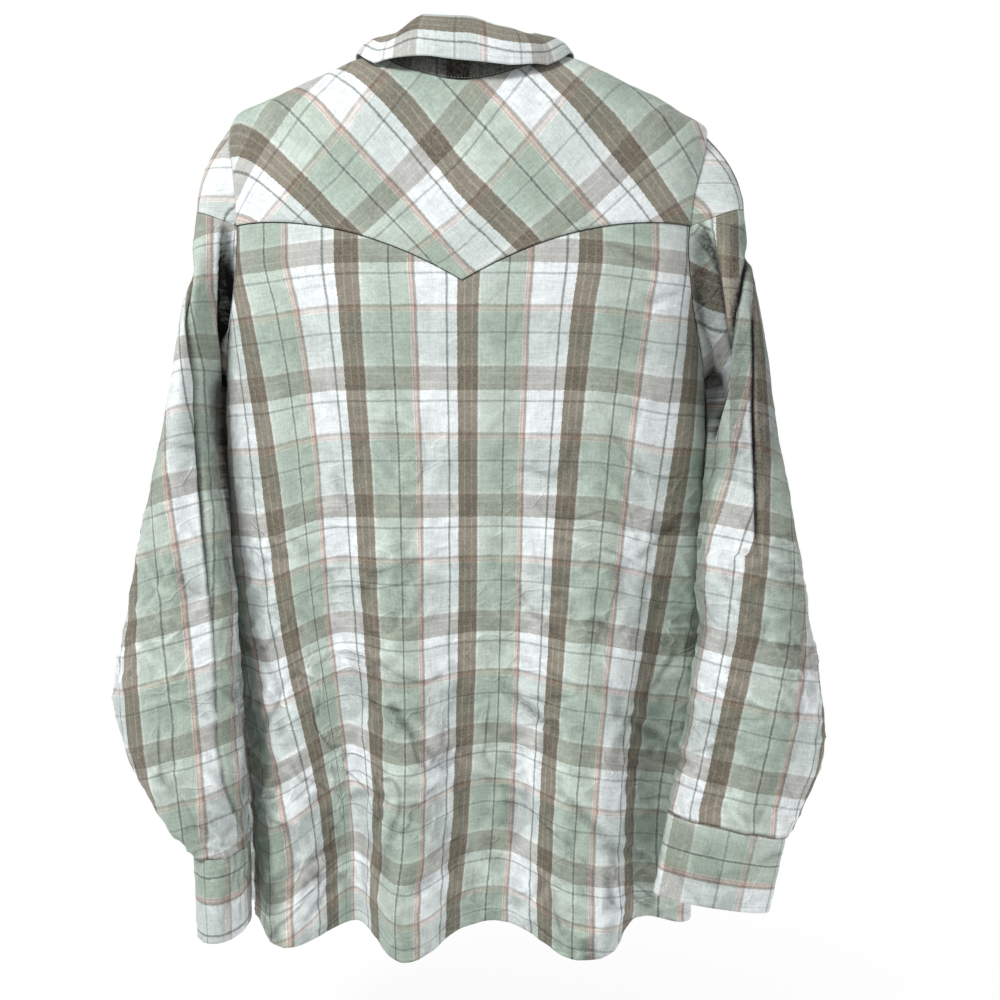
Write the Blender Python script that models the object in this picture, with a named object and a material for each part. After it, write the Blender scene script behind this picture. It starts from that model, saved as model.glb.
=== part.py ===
"""A men's western snap shirt, filled out and hollow, with nobody in it.

Metres, +Z up. The back of the shirt faces -Y, the front +Y, the wearer's right is +X.
Z = 0 is about the height of the back neck seam. Every cloth piece is a thin closed wall:
a grid of outer points on the body or sleeve surface, and the same grid moved inwards.
"""
import math
from collections import namedtuple

import bmesh
import bpy
from mathutils import Vector

MM = 0.001

# ---------------------------------------------------------------- driving sizes
WALL = 1.5 * MM             # cloth wall
STIFF_WALL = 2.0 * MM       # collar, cuffs: two layers and interlining
SEAM_GAP = 0.45 * MM        # from one piece's cut edge to the next
ROUNDNESS = 2.7             # superellipse power of a level cut through the body
SLEEVE_ROUNDNESS = 2.2
RIDGE_SCALE = 0.2           # how fast the shoulders fall away from their line

HEM_Z = -803 * MM           # hem at the centre back
HEM_RISE = 10 * MM          # how much higher the hem is at the sides
HEM_DIP = 0.4               # the hem hangs lower by this share of how far a fold stands out
UNDERARM = 180.0            # armhole station angle of the underarm, 0 is the shoulder

YOKE_SIDE_Z = -131 * MM     # back yoke seam where it meets the armhole
YOKE_POINT_DROP = 60 * MM   # the yoke's point hangs this much lower
YOKE_CURVE = 2.2
YOKE_CORNER_X = 118 * MM    # the column that runs up to the neck end of the shoulder seam
FRONT_YOKE_Z = -125 * MM
FRONT_YOKE_DROP = 44 * MM
FRONT_YOKE_POINT_X = 118 * MM
FRONT_YOKE_CURVE = 1.6

BAND_WIDTH = 38 * MM
BAND_STEP = 2.2 * MM        # the band underneath lies this much deeper
SPREAD_START_Z = -140 * MM  # above this the fronts spread, the top snap being open
SPREAD_AT_NECK = 41 * MM
SPREAD_POWER = 1.3          # above 1, the fronts' edges curve apart

NECK_HALF_WIDTH = 86 * MM
NECK_BACK_Y = -58 * MM
NECK_FRONT_Y = 60 * MM
SHOULDER_SEAM_NECK = 106.0  # degrees round the neck from the centre back
SHOULDER_SEAM_ARM = -22.0   # armhole station angle of the forward shoulder seam

SLEEVE_SEAM_Z = {-1: -116 * MM, 1: -112 * MM}   # seam across the outside of the sleeve
SLEEVE_SEAM_X = {-1: 263 * MM, 1: 276 * MM}
CAP_BULGE = 9 * MM
SEAM_BULGE = 14 * MM
SEAM_SQUARENESS = 0.75      # below 1, the seam across the sleeve is squarer in plan

CUFF_OVERLAP = 48.0         # degrees of the cuff's round that lie double
CUFF_LAP_START = {-1: 18.0, 1: -65.0}   # station angle where the lap begins
CUFF_LAP_LIFT = 2.6 * MM
CUFF_LAP_RISE = 30.0        # degrees over which the lap lifts off the layer under it
CUFF_LAP_LEAD = 1.2         # of those, how much earlier than the overlap it starts
CUFF_SNAP_PLACES = (0.26, 0.74)     # shares of the cuff's height

SNAP_R = 5.6 * MM
SNAP_HEIGHT = 2.6 * MM
SNAP_CLEAR = 0.4 * MM
SNAP_PITCH = 97 * MM
FIRST_SNAP_Z = -158 * MM
FRONT_SNAPS = 6
STAND_SNAP_ALONG = 0.62     # shares of the stand's end: towards its edge, and up
STAND_SNAP_UP = 0.45

PLACKET_WIDTH = 10 * MM
PLACKET_ROWS = 4            # sleeve rows that the placket runs over
PLACKET_ANGLE = {-1: -34.0, 1: -100.0}

# ---------------------------------------------------------------- tables, millimetres
Section = namedtuple("Section", "z left right back front")
TORSO = [
    Section(60, 20, 20, 6, 6),
    Section(54, 60, 60, 12, 12),
    Section(48, 84, 84, 18, 18),
    Section(42, 110, 113, 26, 24),
    Section(30, 132, 137, 38, 29),
    Section(15, 161, 164, 52, 34),
    Section(0, 189, 195, 62, 40),
    Section(-18, 227, 221, 72, 50),
    Section(-31, 233, 241, 77, 56),
    Section(-60, 237, 241, 83, 66),
    Section(-100, 237, 238, 88, 79),
    Section(-150, 236, 235, 92, 92),
    Section(-200, 235, 234, 95, 100),
    Section(-300, 235, 238, 96, 105),
    Section(-350, 235, 239, 96, 105),
    Section(-414, 234, 238, 95, 103),
    Section(-500, 230, 235, 94, 100),
    Section(-600, 224, 229, 93, 98),
    Section(-700, 219, 220, 93, 96),
    Section(-810, 214, 214, 93, 96),
]

# Lengthwise folds of the body. angle: degrees round from the centre back, + to the
# wearer's right; spread: half its width in degrees; start_z: where it fades out;
# depth: how far it stands out (+) or in (-) at the hem.
Fold = namedtuple("Fold", "angle spread start_z depth")
BODY_FOLDS = [
    Fold(-72, 18, -420, -9),
    Fold(-42, 17, -300, 23),
    Fold(-27, 14, -340, -21),
    Fold(-14, 14, -360, 29),
    Fold(8, 19, -300, -24),
    Fold(29, 18, -260, 30),
    Fold(47, 15, -330, -12),
    Fold(66, 16, -380, 13),
    Fold(112, 17, -360, 14),
    Fold(134, 17, -330, -20),
    Fold(152, 14, -280, 18),
    Fold(-112, 17, -370, 15),
    Fold(-133, 17, -320, -19),
    Fold(-153, 14, -290, 17),
]

Armhole = namedtuple("Armhole", "top bottom back_depth front_depth")
ARMHOLES = {
    -1: Armhole(-18, -272, 50, 50),
    1: Armhole(-31, -276, 50, 50),
}

# Rings down each sleeve: its outermost and innermost point (distance from the
# middle of the shirt, height), half its depth front to back, where its middle lies,
# and how much nearer the back its inner point is than its middle.
Ring = namedtuple("Ring", "out_x out_z in_x in_z depth mid_y skew")
SLEEVES = {
    -1: [
        Ring(269, -195, 243, -285, 80, -8, 0),
        Ring(274, -250, 244, -305, 88, -14, 0),
        Ring(285, -310, 240, -342, 86, -24, 9),
        Ring(298, -372, 231, -388, 78, -40, 20),
        Ring(312, -440, 224, -446, 70, -52, 25),
        Ring(323, -510, 214, -511, 65, -64, 25),
        Ring(329, -560, 208, -560, 62, -72, 22),
        Ring(325, -610, 203, -610, 60, -80, 18),
        Ring(302, -652, 201, -652, 57, -87, 12),
        Ring(275, -688, 200, -688, 55, -92, 6),
        Ring(244, -712, 199, -711, 52, -96, 0),
    ],
    1: [
        Ring(283, -187, 246, -283, 80, -8, 0),
        Ring(293, -250, 246, -304, 87, -17, 4),
        Ring(301, -312, 243, -340, 84, -30, 12),
        Ring(310, -364, 238, -382, 77, -43, 20),
        Ring(318, -414, 231, -424, 69, -56, 25),
        Ring(326, -472, 226, -476, 60, -69, 25),
        Ring(332, -528, 219, -529, 54, -79, 22),
        Ring(337, -574, 212, -574, 49, -87, 18),
        Ring(336, -620, 203, -618, 44, -95, 12),
        Ring(323, -656, 196, -650, 37, -102, 6),
        Ring(299, -700, 190, -678, 25, -107, 0),
    ],
}
SLEEVE_TUCK = {-1: 22 * MM, 1: 15 * MM}     # fold along the back of the armhole
TUCK_ANGLE = 112.0
TUCK_SPREAD = 50.0

# Sleeve folds: station angle, half width, first and last ring, depth.
SleeveFold = namedtuple("SleeveFold", "angle spread first last depth")
SLEEVE_FOLDS = {
    -1: [
        SleeveFold(118, 30, 3.5, 9.0, -9),
        SleeveFold(60, 26, 4.5, 9.5, 6),
        SleeveFold(88, 24, 8.0, 12.4, -9),
        SleeveFold(20, 24, 8.6, 12.4, -7),
        SleeveFold(-60, 30, 6.0, 11.5, -7),
    ],
    1: [
        SleeveFold(48, 24, 3.5, 9.6, -9),
        SleeveFold(78, 24, 6.0, 10.5, 6),
        SleeveFold(112, 22, 8.4, 12.4, -7),
        SleeveFold(66, 20, 9.0, 12.4, -7),
        SleeveFold(-70, 30, 6.0, 11.5, -6),
    ],
}

# Cuffs: top and bottom ends of the cuff's flat face, as (distance out, height).
CUFFS = {
    -1: (Ring(241, -714, 199, -713, 51, -96, 0), Ring(237, -788, 197, -786, 50, -98, 0)),
    1: (Ring(297, -702, 190, -680, 24, -107, 0), Ring(280, -769, 176, -753, 23, -110, 0)),
}

# The collar, by degrees round the neck from the centre back. stand: its height;
# lean: how far its top leans in; fold: height of the fold over the neck seam;
# out: how far the lower edge of the fall stands off; edge: its height, or below
# the shirt's own surface, where it then rests on the shirt.
CollarRow = namedtuple("CollarRow", "angle stand lean fold out edge")
COLLAR = [
    CollarRow(-180, 30, 4, 33, 25, -98),
    CollarRow(-140, 30, 7, 33, 24, -55),
    CollarRow(-105, 27, 16, 29, 25, -8),
    CollarRow(-78, 19, 21, 22, 22, 20),
    CollarRow(-50, 28, 12, 34, 19, 28),
    CollarRow(-25, 36, 6, 57, 18, 26),
    CollarRow(0, 36, 4, 60, 17, 20),
    CollarRow(25, 35, 5, 46, 17, 18),
    CollarRow(50, 28, 12, 32, 19, 24),
    CollarRow(78, 20, 21, 22, 22, 20),
    CollarRow(105, 27, 16, 29, 25, -8),
    CollarRow(140, 30, 7, 33, 24, -55),
    CollarRow(180, 30, 4, 33, 25, -98),
]
COLLAR_POINT = 26 * MM      # how far the fall's point reaches sideways
COLLAR_POINT_START = 0.72   # share of the way from the centre back where the point begins
COLLAR_POINT_POWER = 1.6
FALL_CLEAR = 4 * MM         # the fall's outer side over the shirt, straight up
FALL_OFF_STAND = 0.2 * MM
FALL_RISE = 3 * MM          # the fold stands at least this far over the stand
FOLD_THICK = 5 * MM         # front to back over the fold
FOLD_LEAN_BACK = 1 * MM
FALL_BELLY_OUT = 5 * MM
FALL_BELLY_UP = 4 * MM
FALL_ROWS = 3               # rows from the fold down to the fall's edge
STAND_BELLY = 1 * MM

# ---------------------------------------------------------------- how finely it is cut
LOW_ARM_STEPS = 8           # armhole stations: yoke seam to underarm, at the back
YOKE_ARM_STEPS = 8          # over the shoulder, yoke seam to shoulder seam
FRONT_YOKE_STEPS = 6
FRONT_ARM_STEPS = 8
NECK_STEPS = 16
FRONT_NECK_STEPS = 4
BAND_STEPS = 3
SHOULDER_STEPS = 11
FRONT_COLUMNS = SHOULDER_STEPS
FRONT_POINT_COLUMN = 6      # the column at the front yoke's point
SIDE_ROWS = 10
SLEEVE_ROWS = 18
CAP_ROWS = 4
CUFF_ROWS = 2
CUFF_STEP = 12.0            # degrees; divides both the round and the overlap
SNAP_SIDES = 12
SHARP_EDGE = 60.0           # degrees; flatter edges are shaded smooth
LONGEST_MITRE = 1.8         # in wall thicknesses, at the armhole seams

COLOURS = {
    "sage": (0.36, 0.43, 0.37, 1),
    "pale": (0.62, 0.67, 0.63, 1),
    "white": (0.74, 0.76, 0.74, 1),
    "pearl": (0.80, 0.80, 0.77, 1),
}


# ---------------------------------------------------------------- small helpers
def clear_scene():
    for thing in list(bpy.data.objects):
        bpy.data.objects.remove(thing, do_unlink=True)


def mix(a, b, t):
    return a + (b - a) * t


def ease(t):
    t = min(1.0, max(0.0, t))
    return t * t * (3 - 2 * t)


def bump(angle, middle, spread):
    """1 at the middle, 0 beyond the spread, round between; angles in degrees."""
    away = (angle - middle + 180.0) % 360.0 - 180.0
    if abs(away) >= spread:
        return 0.0
    return math.cos(math.pi / 2 * away / spread) ** 2


def curve_through(keys, values, key):
    """A smooth curve through the rows, which never swings past them."""
    if key <= keys[0]:
        return values[0]
    if key >= keys[-1]:
        return values[-1]
    i = 0
    while keys[i + 1] < key:
        i += 1

    def slope(k):
        if k <= 0 or k >= len(keys) - 1:
            return 0.0
        before = (values[k] - values[k - 1]) / (keys[k] - keys[k - 1])
        after = (values[k + 1] - values[k]) / (keys[k + 1] - keys[k])
        if before * after <= 0:
            return 0.0
        return 2 * before * after / (before + after)

    span = keys[i + 1] - keys[i]
    t = (key - keys[i]) / span
    t2, t3 = t * t, t * t * t
    return (
        (2 * t3 - 3 * t2 + 1) * values[i]
        + (t3 - 2 * t2 + t) * span * slope(i)
        + (3 * t2 - 2 * t3) * values[i + 1]
        + (t3 - t2) * span * slope(i + 1)
    )


def column(rows, key_name, value_name, key):
    """One column of a table in millimetres, read smoothly at a key in metres."""
    ordered = sorted(rows, key=lambda row: getattr(row, key_name))
    keys = [getattr(row, key_name) * MM for row in ordered]
    values = [getattr(row, value_name) * MM for row in ordered]
    return curve_through(keys, values, key)


# ---------------------------------------------------------------- the body's surface
SIZES_AT = {}


def sizes_at(z):
    """Half widths left and right, depths back and front, at one height."""
    key = round(z, 7)
    if key not in SIZES_AT:
        SIZES_AT[key] = [column(TORSO, "z", name, z) for name in ("left", "right", "back", "front")]
    return SIZES_AT[key]


def half_width(side, z):
    return sizes_at(z)[0 if side < 0 else 1]


def depth_at(z, y):
    return sizes_at(z)[2 if y < 0 else 3]


def hem_z(angle):
    return HEM_Z + HEM_RISE * math.sin(angle) ** 2 - HEM_DIP * fold_depth(angle, HEM_Z)


def fold_depth(angle, z):
    degrees = math.degrees(angle)
    total = 0.0
    for fold in BODY_FOLDS:
        reach = (fold.start_z * MM - z) / (fold.start_z * MM - HEM_Z)
        if reach > 0:
            total += fold.depth * MM * ease(reach) * bump(degrees, fold.angle, fold.spread)
    return total


def around(angle, z):
    """A point of the body by its angle from the centre back and its height."""
    across, behind = math.sin(angle), math.cos(angle)
    reach = (abs(across) ** ROUNDNESS + abs(behind) ** ROUNDNESS) ** (-1 / ROUNDNESS)
    left, right, back, front = sizes_at(z)
    wide = right if across > 0 else left
    deep = back if behind > 0 else front
    unit_x, unit_y = across * reach, -behind * reach
    out = Vector((
        math.copysign(abs(unit_x) ** (ROUNDNESS - 1), unit_x) / wide,
        math.copysign(abs(unit_y) ** (ROUNDNESS - 1), unit_y) / deep,
        0,
    )).normalized()
    return Vector((wide * unit_x, deep * unit_y, z)) + out * fold_depth(angle, z)


def angle_of(x, z, back=True):
    """The angle round the body where it is x across, at the back or the front."""
    part = min(0.99999, abs(x) / half_width(x, z))
    behind = (1 - part ** ROUNDNESS) ** (1 / ROUNDNESS)
    return math.copysign(math.atan2(part, behind if back else -behind), x)


def ridge_z(x):
    """Height of the shoulder line, x from the middle."""
    low, high = -60 * MM, 60 * MM
    for _ in range(30):
        middle = (low + high) / 2
        if half_width(x, middle) > abs(x):
            low = middle
        else:
            high = middle
    return low


def over(x, sweep):
    """A point of the shoulders: x across, and swept from the back (-) over the ridge."""
    z = ridge_z(x) - RIDGE_SCALE * abs(sweep) ** ROUNDNESS
    part = min(1.0, abs(x) / half_width(x, z))
    y = depth_at(z, sweep) * max(0.0, 1 - part ** ROUNDNESS) ** (1 / ROUNDNESS)
    return Vector((x, math.copysign(y, sweep), z))


def sweep_of(point):
    """The shoulder coordinates (x, sweep) of a point on the body."""
    below = max(0.0, ridge_z(point.x) - point.z)
    return (point.x, math.copysign((below / RIDGE_SCALE) ** (1 / ROUNDNESS), point.y))


def inside(x, y, z):
    left, right, back, front = sizes_at(z)
    wide = right if x > 0 else left
    deep = front if y > 0 else back
    return (abs(x) / wide) ** ROUNDNESS + (abs(y) / deep) ** ROUNDNESS < 1


def top_of_body(x, y):
    """Height of the body's surface over a point in plan."""
    low, high = -400 * MM, 60 * MM
    for _ in range(30):
        middle = (low + high) / 2
        if inside(x, y, middle):
            low = middle
        else:
            high = middle
    return low


def normal_of(surface, a, b, step=0.002):
    """Outward unit normal of a surface at its coordinates (a, b)."""
    along = surface(a + step, b) - surface(a - step, b)
    up = surface(a, b + step) - surface(a, b - step)
    return along.cross(up).normalized()


# ---------------------------------------------------------------- seams on the body
def armhole_angles(side):
    """Station angles: underarm, up the back, over the shoulder, down the front."""
    hole = ARMHOLES[side]
    middle = (hole.top + hole.bottom) / 2 * MM
    tall = (hole.top - hole.bottom) / 2 * MM
    yoke = math.degrees(math.acos((YOKE_SIDE_Z - middle) / tall))
    front_yoke = -math.degrees(math.acos((FRONT_YOKE_Z - middle) / tall))
    marks = [UNDERARM, yoke, SHOULDER_SEAM_ARM, front_yoke, -UNDERARM]
    steps = [LOW_ARM_STEPS, YOKE_ARM_STEPS, FRONT_YOKE_STEPS, FRONT_ARM_STEPS]
    angles = []
    for start, end, count in zip(marks, marks[1:], steps):
        angles += [mix(start, end, i / count) for i in range(count)]
    return angles


def armhole_point(side, degrees):
    hole = ARMHOLES[side]
    turn = math.radians(degrees)
    z = ((hole.top + hole.bottom) + (hole.top - hole.bottom) * math.cos(turn)) / 2 * MM
    deep = (hole.back_depth if degrees > 0 else hole.front_depth) * MM
    y = -deep * math.sin(turn)
    part = min(1.0, abs(y) / depth_at(z, y))
    x = half_width(side, z) * (1 - part ** ROUNDNESS) ** (1 / ROUNDNESS)
    return Vector((side * x, y, z))


YOKE_STATION = LOW_ARM_STEPS
SHOULDER_STATION = YOKE_STATION + YOKE_ARM_STEPS
FRONT_YOKE_STATION = SHOULDER_STATION + FRONT_YOKE_STEPS
STATIONS = FRONT_YOKE_STATION + FRONT_ARM_STEPS


def neck_point(degrees):
    """A point of the neck seam, by degrees round from the centre back."""
    turn = math.radians(degrees)
    middle = (NECK_BACK_Y + NECK_FRONT_Y) / 2
    x = NECK_HALF_WIDTH * math.sin(turn)
    y = middle - (NECK_FRONT_Y - NECK_BACK_Y) / 2 * math.cos(turn)
    return Vector((x, y, top_of_body(x, y)))


def neck_angle_at(x):
    """Degrees round the neck, on its front, where it is x across."""
    return math.copysign(180 - math.degrees(math.asin(abs(x) / NECK_HALF_WIDTH)), x)


NECK_END = neck_angle_at(SPREAD_AT_NECK - BAND_WIDTH / 2)
NECK_BAND = neck_angle_at(SPREAD_AT_NECK + BAND_WIDTH / 2)


def neck_angles():
    """Every neck station, from the left end of the stand round the back to the right."""
    marks = [-NECK_END, -NECK_BAND, -SHOULDER_SEAM_NECK, SHOULDER_SEAM_NECK, NECK_BAND, NECK_END]
    steps = [BAND_STEPS, FRONT_NECK_STEPS, NECK_STEPS, FRONT_NECK_STEPS, BAND_STEPS]
    angles = []
    for start, end, count in zip(marks, marks[1:], steps):
        angles += [mix(start, end, i / count) for i in range(count)]
    return angles + [NECK_END]


def spread(z):
    """How far each front edge has moved off the middle, at a height."""
    neck_z = neck_point(NECK_END).z
    part = (z - SPREAD_START_Z) / (neck_z - SPREAD_START_Z)
    return SPREAD_AT_NECK * min(1.0, max(0.0, part)) ** SPREAD_POWER


def yoke_seam_z(x):
    side = 1 if x > 0 else -1
    end = abs(armhole_point(side, armhole_angles(side)[YOKE_STATION]).x)
    return YOKE_SIDE_Z - YOKE_POINT_DROP * max(0.0, 1 - abs(x) / end) ** YOKE_CURVE


YOKE_COLUMNS = NECK_STEPS + 2 * SHOULDER_STEPS


def yoke_seam_points():
    """The back yoke seam from the left armhole to the right, as (x, z)."""
    neck_steps = NECK_STEPS // 2
    points = []
    for i in range(-YOKE_COLUMNS // 2, YOKE_COLUMNS // 2 + 1):
        side = 1 if i > 0 else -1
        end = abs(armhole_point(side, armhole_angles(side)[YOKE_STATION]).x)
        if abs(i) < neck_steps:
            x = YOKE_CORNER_X * abs(i) / neck_steps
        else:
            x = mix(YOKE_CORNER_X, end, (abs(i) - neck_steps) / SHOULDER_STEPS)
        points.append((side * x, yoke_seam_z(side * x)))
    return points


def front_yoke_seam_points(side):
    """The front yoke seam from the armhole to the band, as (x, z)."""
    end = abs(armhole_point(side, armhole_angles(side)[FRONT_YOKE_STATION]).x)
    band = BAND_WIDTH / 2 + spread(FRONT_YOKE_Z)
    points = []
    for i in range(FRONT_COLUMNS + 1):
        if i < FRONT_POINT_COLUMN:
            x = mix(end, FRONT_YOKE_POINT_X, i / FRONT_POINT_COLUMN)
        else:
            beyond = (i - FRONT_POINT_COLUMN) / (FRONT_COLUMNS - FRONT_POINT_COLUMN)
            x = mix(FRONT_YOKE_POINT_X, band, beyond)
        reach = (x - FRONT_YOKE_POINT_X) / ((end if x > FRONT_YOKE_POINT_X else band) - FRONT_YOKE_POINT_X)
        points.append((side * x, FRONT_YOKE_Z - FRONT_YOKE_DROP * (1 - reach) ** FRONT_YOKE_CURVE))
    return points


def side_rows(side):
    """Heights of the rows below the underarm."""
    low = hem_z(math.pi / 2)
    high = ARMHOLES[side].bottom * MM
    return [mix(high, low, i / SIDE_ROWS) for i in range(1, SIDE_ROWS + 1)]


# ---------------------------------------------------------------- making walls
def add_object(name, verts, faces, colour):
    mesh = bpy.data.meshes.new(name)
    mesh.from_pydata([tuple(v) for v in verts], [], faces)
    shape = bmesh.new()
    shape.from_mesh(mesh)
    bmesh.ops.remove_doubles(shape, verts=shape.verts, dist=1e-7)
    bmesh.ops.dissolve_degenerate(shape, edges=shape.edges, dist=1e-7)
    bmesh.ops.recalc_face_normals(shape, faces=shape.faces)
    shape.to_mesh(mesh)
    shape.free()
    mesh.shade_smooth()
    mesh.set_sharp_from_angle(angle=math.radians(SHARP_EDGE))
    thing = bpy.data.objects.new(name, mesh)
    bpy.context.scene.collection.objects.link(thing)
    mesh.materials.append(material(colour))
    return thing


def material(colour):
    if colour in bpy.data.materials:
        return bpy.data.materials[colour]
    made = bpy.data.materials.new(colour)
    made.use_nodes = True
    shader = made.node_tree.nodes["Principled BSDF"]
    shader.inputs["Base Color"].default_value = COLOURS[colour]
    shader.inputs["Roughness"].default_value = 0.3 if colour == "pearl" else 0.85
    shader.inputs["Metallic"].default_value = 0.0
    return made


def wall(name, outer, inward, colour, closed=False):
    """A closed wall from a grid of outer points and each point's way to the inner one."""
    rows, cols = len(outer), len(outer[0])
    flat_outer = [p for row in outer for p in row]
    flat_inner = [p + d for row, ways in zip(outer, inward) for p, d in zip(row, ways)]
    under = rows * cols
    faces = []
    spans = cols if closed else cols - 1
    for i in range(rows - 1):
        for j in range(spans):
            a, b = i * cols + j, i * cols + (j + 1) % cols
            c, d = (i + 1) * cols + (j + 1) % cols, (i + 1) * cols + j
            if (flat_outer[a] - flat_outer[c]).length < (flat_outer[b] - flat_outer[d]).length:
                cuts = [(a, b, c), (a, c, d)]
            else:
                cuts = [(a, b, d), (b, c, d)]
            for cut in cuts:
                faces.append(cut)
                faces.append(tuple(under + k for k in reversed(cut)))
    for j in range(spans):
        for i in (0, rows - 1):
            a, b = i * cols + j, i * cols + (j + 1) % cols
            faces += [(a, b, under + b), (a, under + b, under + a)]
    if not closed:
        for i in range(rows - 1):
            for j in (0, cols - 1):
                a, b = i * cols + j, (i + 1) * cols + j
                faces += [(a, b, under + b), (a, under + b, under + a)]
    return add_object(name, flat_outer + flat_inner, faces, colour)


def pull_in(grid, closed=False, edges="tblr", by=SEAM_GAP / 2):
    """Moves a grid's border towards its own middle, for the gap at the seams."""
    rows, cols = len(grid), len(grid[0])
    moved = [list(row) for row in grid]

    def shift(i, j, k, m):
        way = grid[k][m] - grid[i][j]
        if way.length > 1e-6:
            moved[i][j] = moved[i][j] + way.normalized() * by

    for j in range(cols):
        if "t" in edges:
            shift(0, j, 1, j)
        if "b" in edges:
            shift(rows - 1, j, rows - 2, j)
    if not closed:
        for i in range(rows):
            if "l" in edges:
                shift(i, 0, i, 1)
            if "r" in edges:
                shift(i, cols - 1, i, cols - 2)
    return moved


def fill_between(top, bottom, left, right, hold=1):
    """Surface coordinates inside four borders, each a list of coordinate pairs.

    The higher hold is, the nearer its own side a bend in the left or right border stays.
    """
    cols, rows = len(top) - 1, len(left) - 1
    grid = []
    for i in range(rows + 1):
        v = i / rows
        row = []
        for j in range(cols + 1):
            u = j / cols
            row.append(tuple(
                mix(top[j][k], bottom[j][k], v)
                + (1 - u) ** hold * (left[i][k] - mix(top[0][k], bottom[0][k], v))
                + u ** hold * (right[i][k] - mix(top[cols][k], bottom[cols][k], v))
                for k in (0, 1)
            ))
        grid.append(row)
    return grid


def body_panel(name, surface, borders, colour, arm_edges, hold=1):
    """A piece of the body wall. arm_edges gives the border points on the armhole seam."""
    places = fill_between(*borders, hold=hold)
    outer = [[surface(*place) for place in row] for row in places]
    inward = [[normal_of(surface, *place) * -WALL for place in row] for row in places]
    moved = pull_in(outer)
    sideways = pull_in(outer, edges="lr")
    for (i, j), (side, station) in arm_edges.items():
        seam = ARM_SEAMS[side][station % STATIONS]
        rim = moved[i][j] - outer[i][j]
        if station % STATIONS:
            rim -= sideways[i][j] - outer[i][j]
        moved[i][j] = outer[i][j] + rim - seam.apart * (SEAM_GAP / 2)
        inward[i][j] = seam.inward
    return wall(name, moved, inward, colour)


# ---------------------------------------------------------------- sleeves' surface
def ring_point(ring, side, degrees, roundness=SLEEVE_ROUNDNESS):
    """A point of a sleeve ring: 0 is its outer side, 90 its back, 180 its inner side."""
    turn = math.radians(degrees)
    outer = Vector((side * ring.out_x, ring.mid_y + ring.skew, ring.out_z)) * MM
    inner = Vector((side * ring.in_x, ring.mid_y - ring.skew, ring.in_z)) * MM
    along, behind = math.cos(turn), math.sin(turn)
    reach = (abs(along) ** roundness + abs(behind) ** roundness) ** (-1 / roundness)
    point = (outer + inner) / 2 + (outer - inner) / 2 * along * reach
    point.y -= ring.depth * MM * behind * reach
    return point


def cap_seam_point(side, k):
    """The seam across the sleeve: from the back armhole round the outside to the front."""
    angles = armhole_angles(side)
    turn = mix(-math.pi / 2, math.pi / 2, (k - YOKE_STATION) / (FRONT_YOKE_STATION - YOKE_STATION))
    end = armhole_point(side, angles[YOKE_STATION if turn < 0 else FRONT_YOKE_STATION])
    out = abs(math.cos(turn)) ** SEAM_SQUARENESS
    about = abs(math.sin(turn)) ** SEAM_SQUARENESS
    bulge = SEAM_BULGE * math.sin(2 * abs(turn))
    return Vector((
        mix(end.x, side * SLEEVE_SEAM_X[side], out),
        end.y * about + math.copysign(bulge, turn),
        mix(end.z, SLEEVE_SEAM_Z[side], out),
    ))


def is_cap(k):
    return YOKE_STATION < k < FRONT_YOKE_STATION


def sleeve_start(side):
    """The sleeve's first ring: the cap seam outside, the armhole seam inside."""
    angles = armhole_angles(side)
    return [
        cap_seam_point(side, k) if is_cap(k) else armhole_point(side, angles[k])
        for k in range(STATIONS)
    ]


def sleeve_rings(side):
    """All rings of the sleeve below the cap seam, evenly cut."""
    angles = armhole_angles(side)
    first = sleeve_start(side)
    tables = [[ring_point(ring, side, angle) for angle in angles] for ring in SLEEVES[side]]
    tucked = []
    for angle, a, b in zip(angles, first, tables[0]):
        tuck = SLEEVE_TUCK[side] * bump(angle, TUCK_ANGLE, TUCK_SPREAD)
        tucked.append((a + b) / 2 + Vector((0, tuck, 0)))
    given = [first, tucked] + tables
    last = len(given) - 1
    rings = []
    for i in range(SLEEVE_ROWS + 1):
        s = last * i / SLEEVE_ROWS
        rings.append([through(given, s, k) for k in range(STATIONS)])
    for i, ring in enumerate(rings):
        s = last * i / SLEEVE_ROWS
        middle = sum(ring, Vector()) / STATIONS
        for k, angle in enumerate(angles):
            out = (ring[k] - middle)
            out.z = 0
            depth = sum(
                fold.depth * MM * bump(angle, fold.angle, fold.spread) * rise_and_fall(s, fold)
                for fold in SLEEVE_FOLDS[side]
            )
            ring[k] = ring[k] + out.normalized() * depth
    return rings


def rise_and_fall(s, fold):
    """A fold's strength along the sleeve: from nothing at its first ring to its last."""
    if s <= fold.first or s >= fold.last:
        return 0.0
    return math.sin(math.pi * (s - fold.first) / (fold.last - fold.first))


def through(rings, s, k):
    """Station k on a smooth line through the rings, s rings down."""
    i = min(int(s), len(rings) - 2)
    t = s - i
    before = rings[max(i - 1, 0)][k]
    a, b = rings[i][k], rings[i + 1][k]
    after = rings[min(i + 2, len(rings) - 1)][k]
    return 0.5 * (
        2 * a
        + (b - before) * t
        + (2 * before - 5 * a + 4 * b - after) * t ** 2
        + (3 * a - before - 3 * b + after) * t ** 3
    )


def cap_rings(side):
    """Rows of the sleeve cap, from the armhole seam out to the seam across the sleeve."""
    angles = armhole_angles(side)
    stations = range(YOKE_STATION, FRONT_YOKE_STATION + 1)
    rows = []
    for i in range(CAP_ROWS + 1):
        v = i / CAP_ROWS
        row = []
        for k in stations:
            start, end = armhole_point(side, angles[k]), cap_seam_point(side, k)
            if not is_cap(k):
                end = start
            swell = CAP_BULGE * 4 * v * (1 - v) * max(0.0, math.cos(math.radians(angles[k])))
            row.append(mix(start, end, v) + Vector((side * swell, 0, 0)))
        rows.append(row)
    return rows


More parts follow.
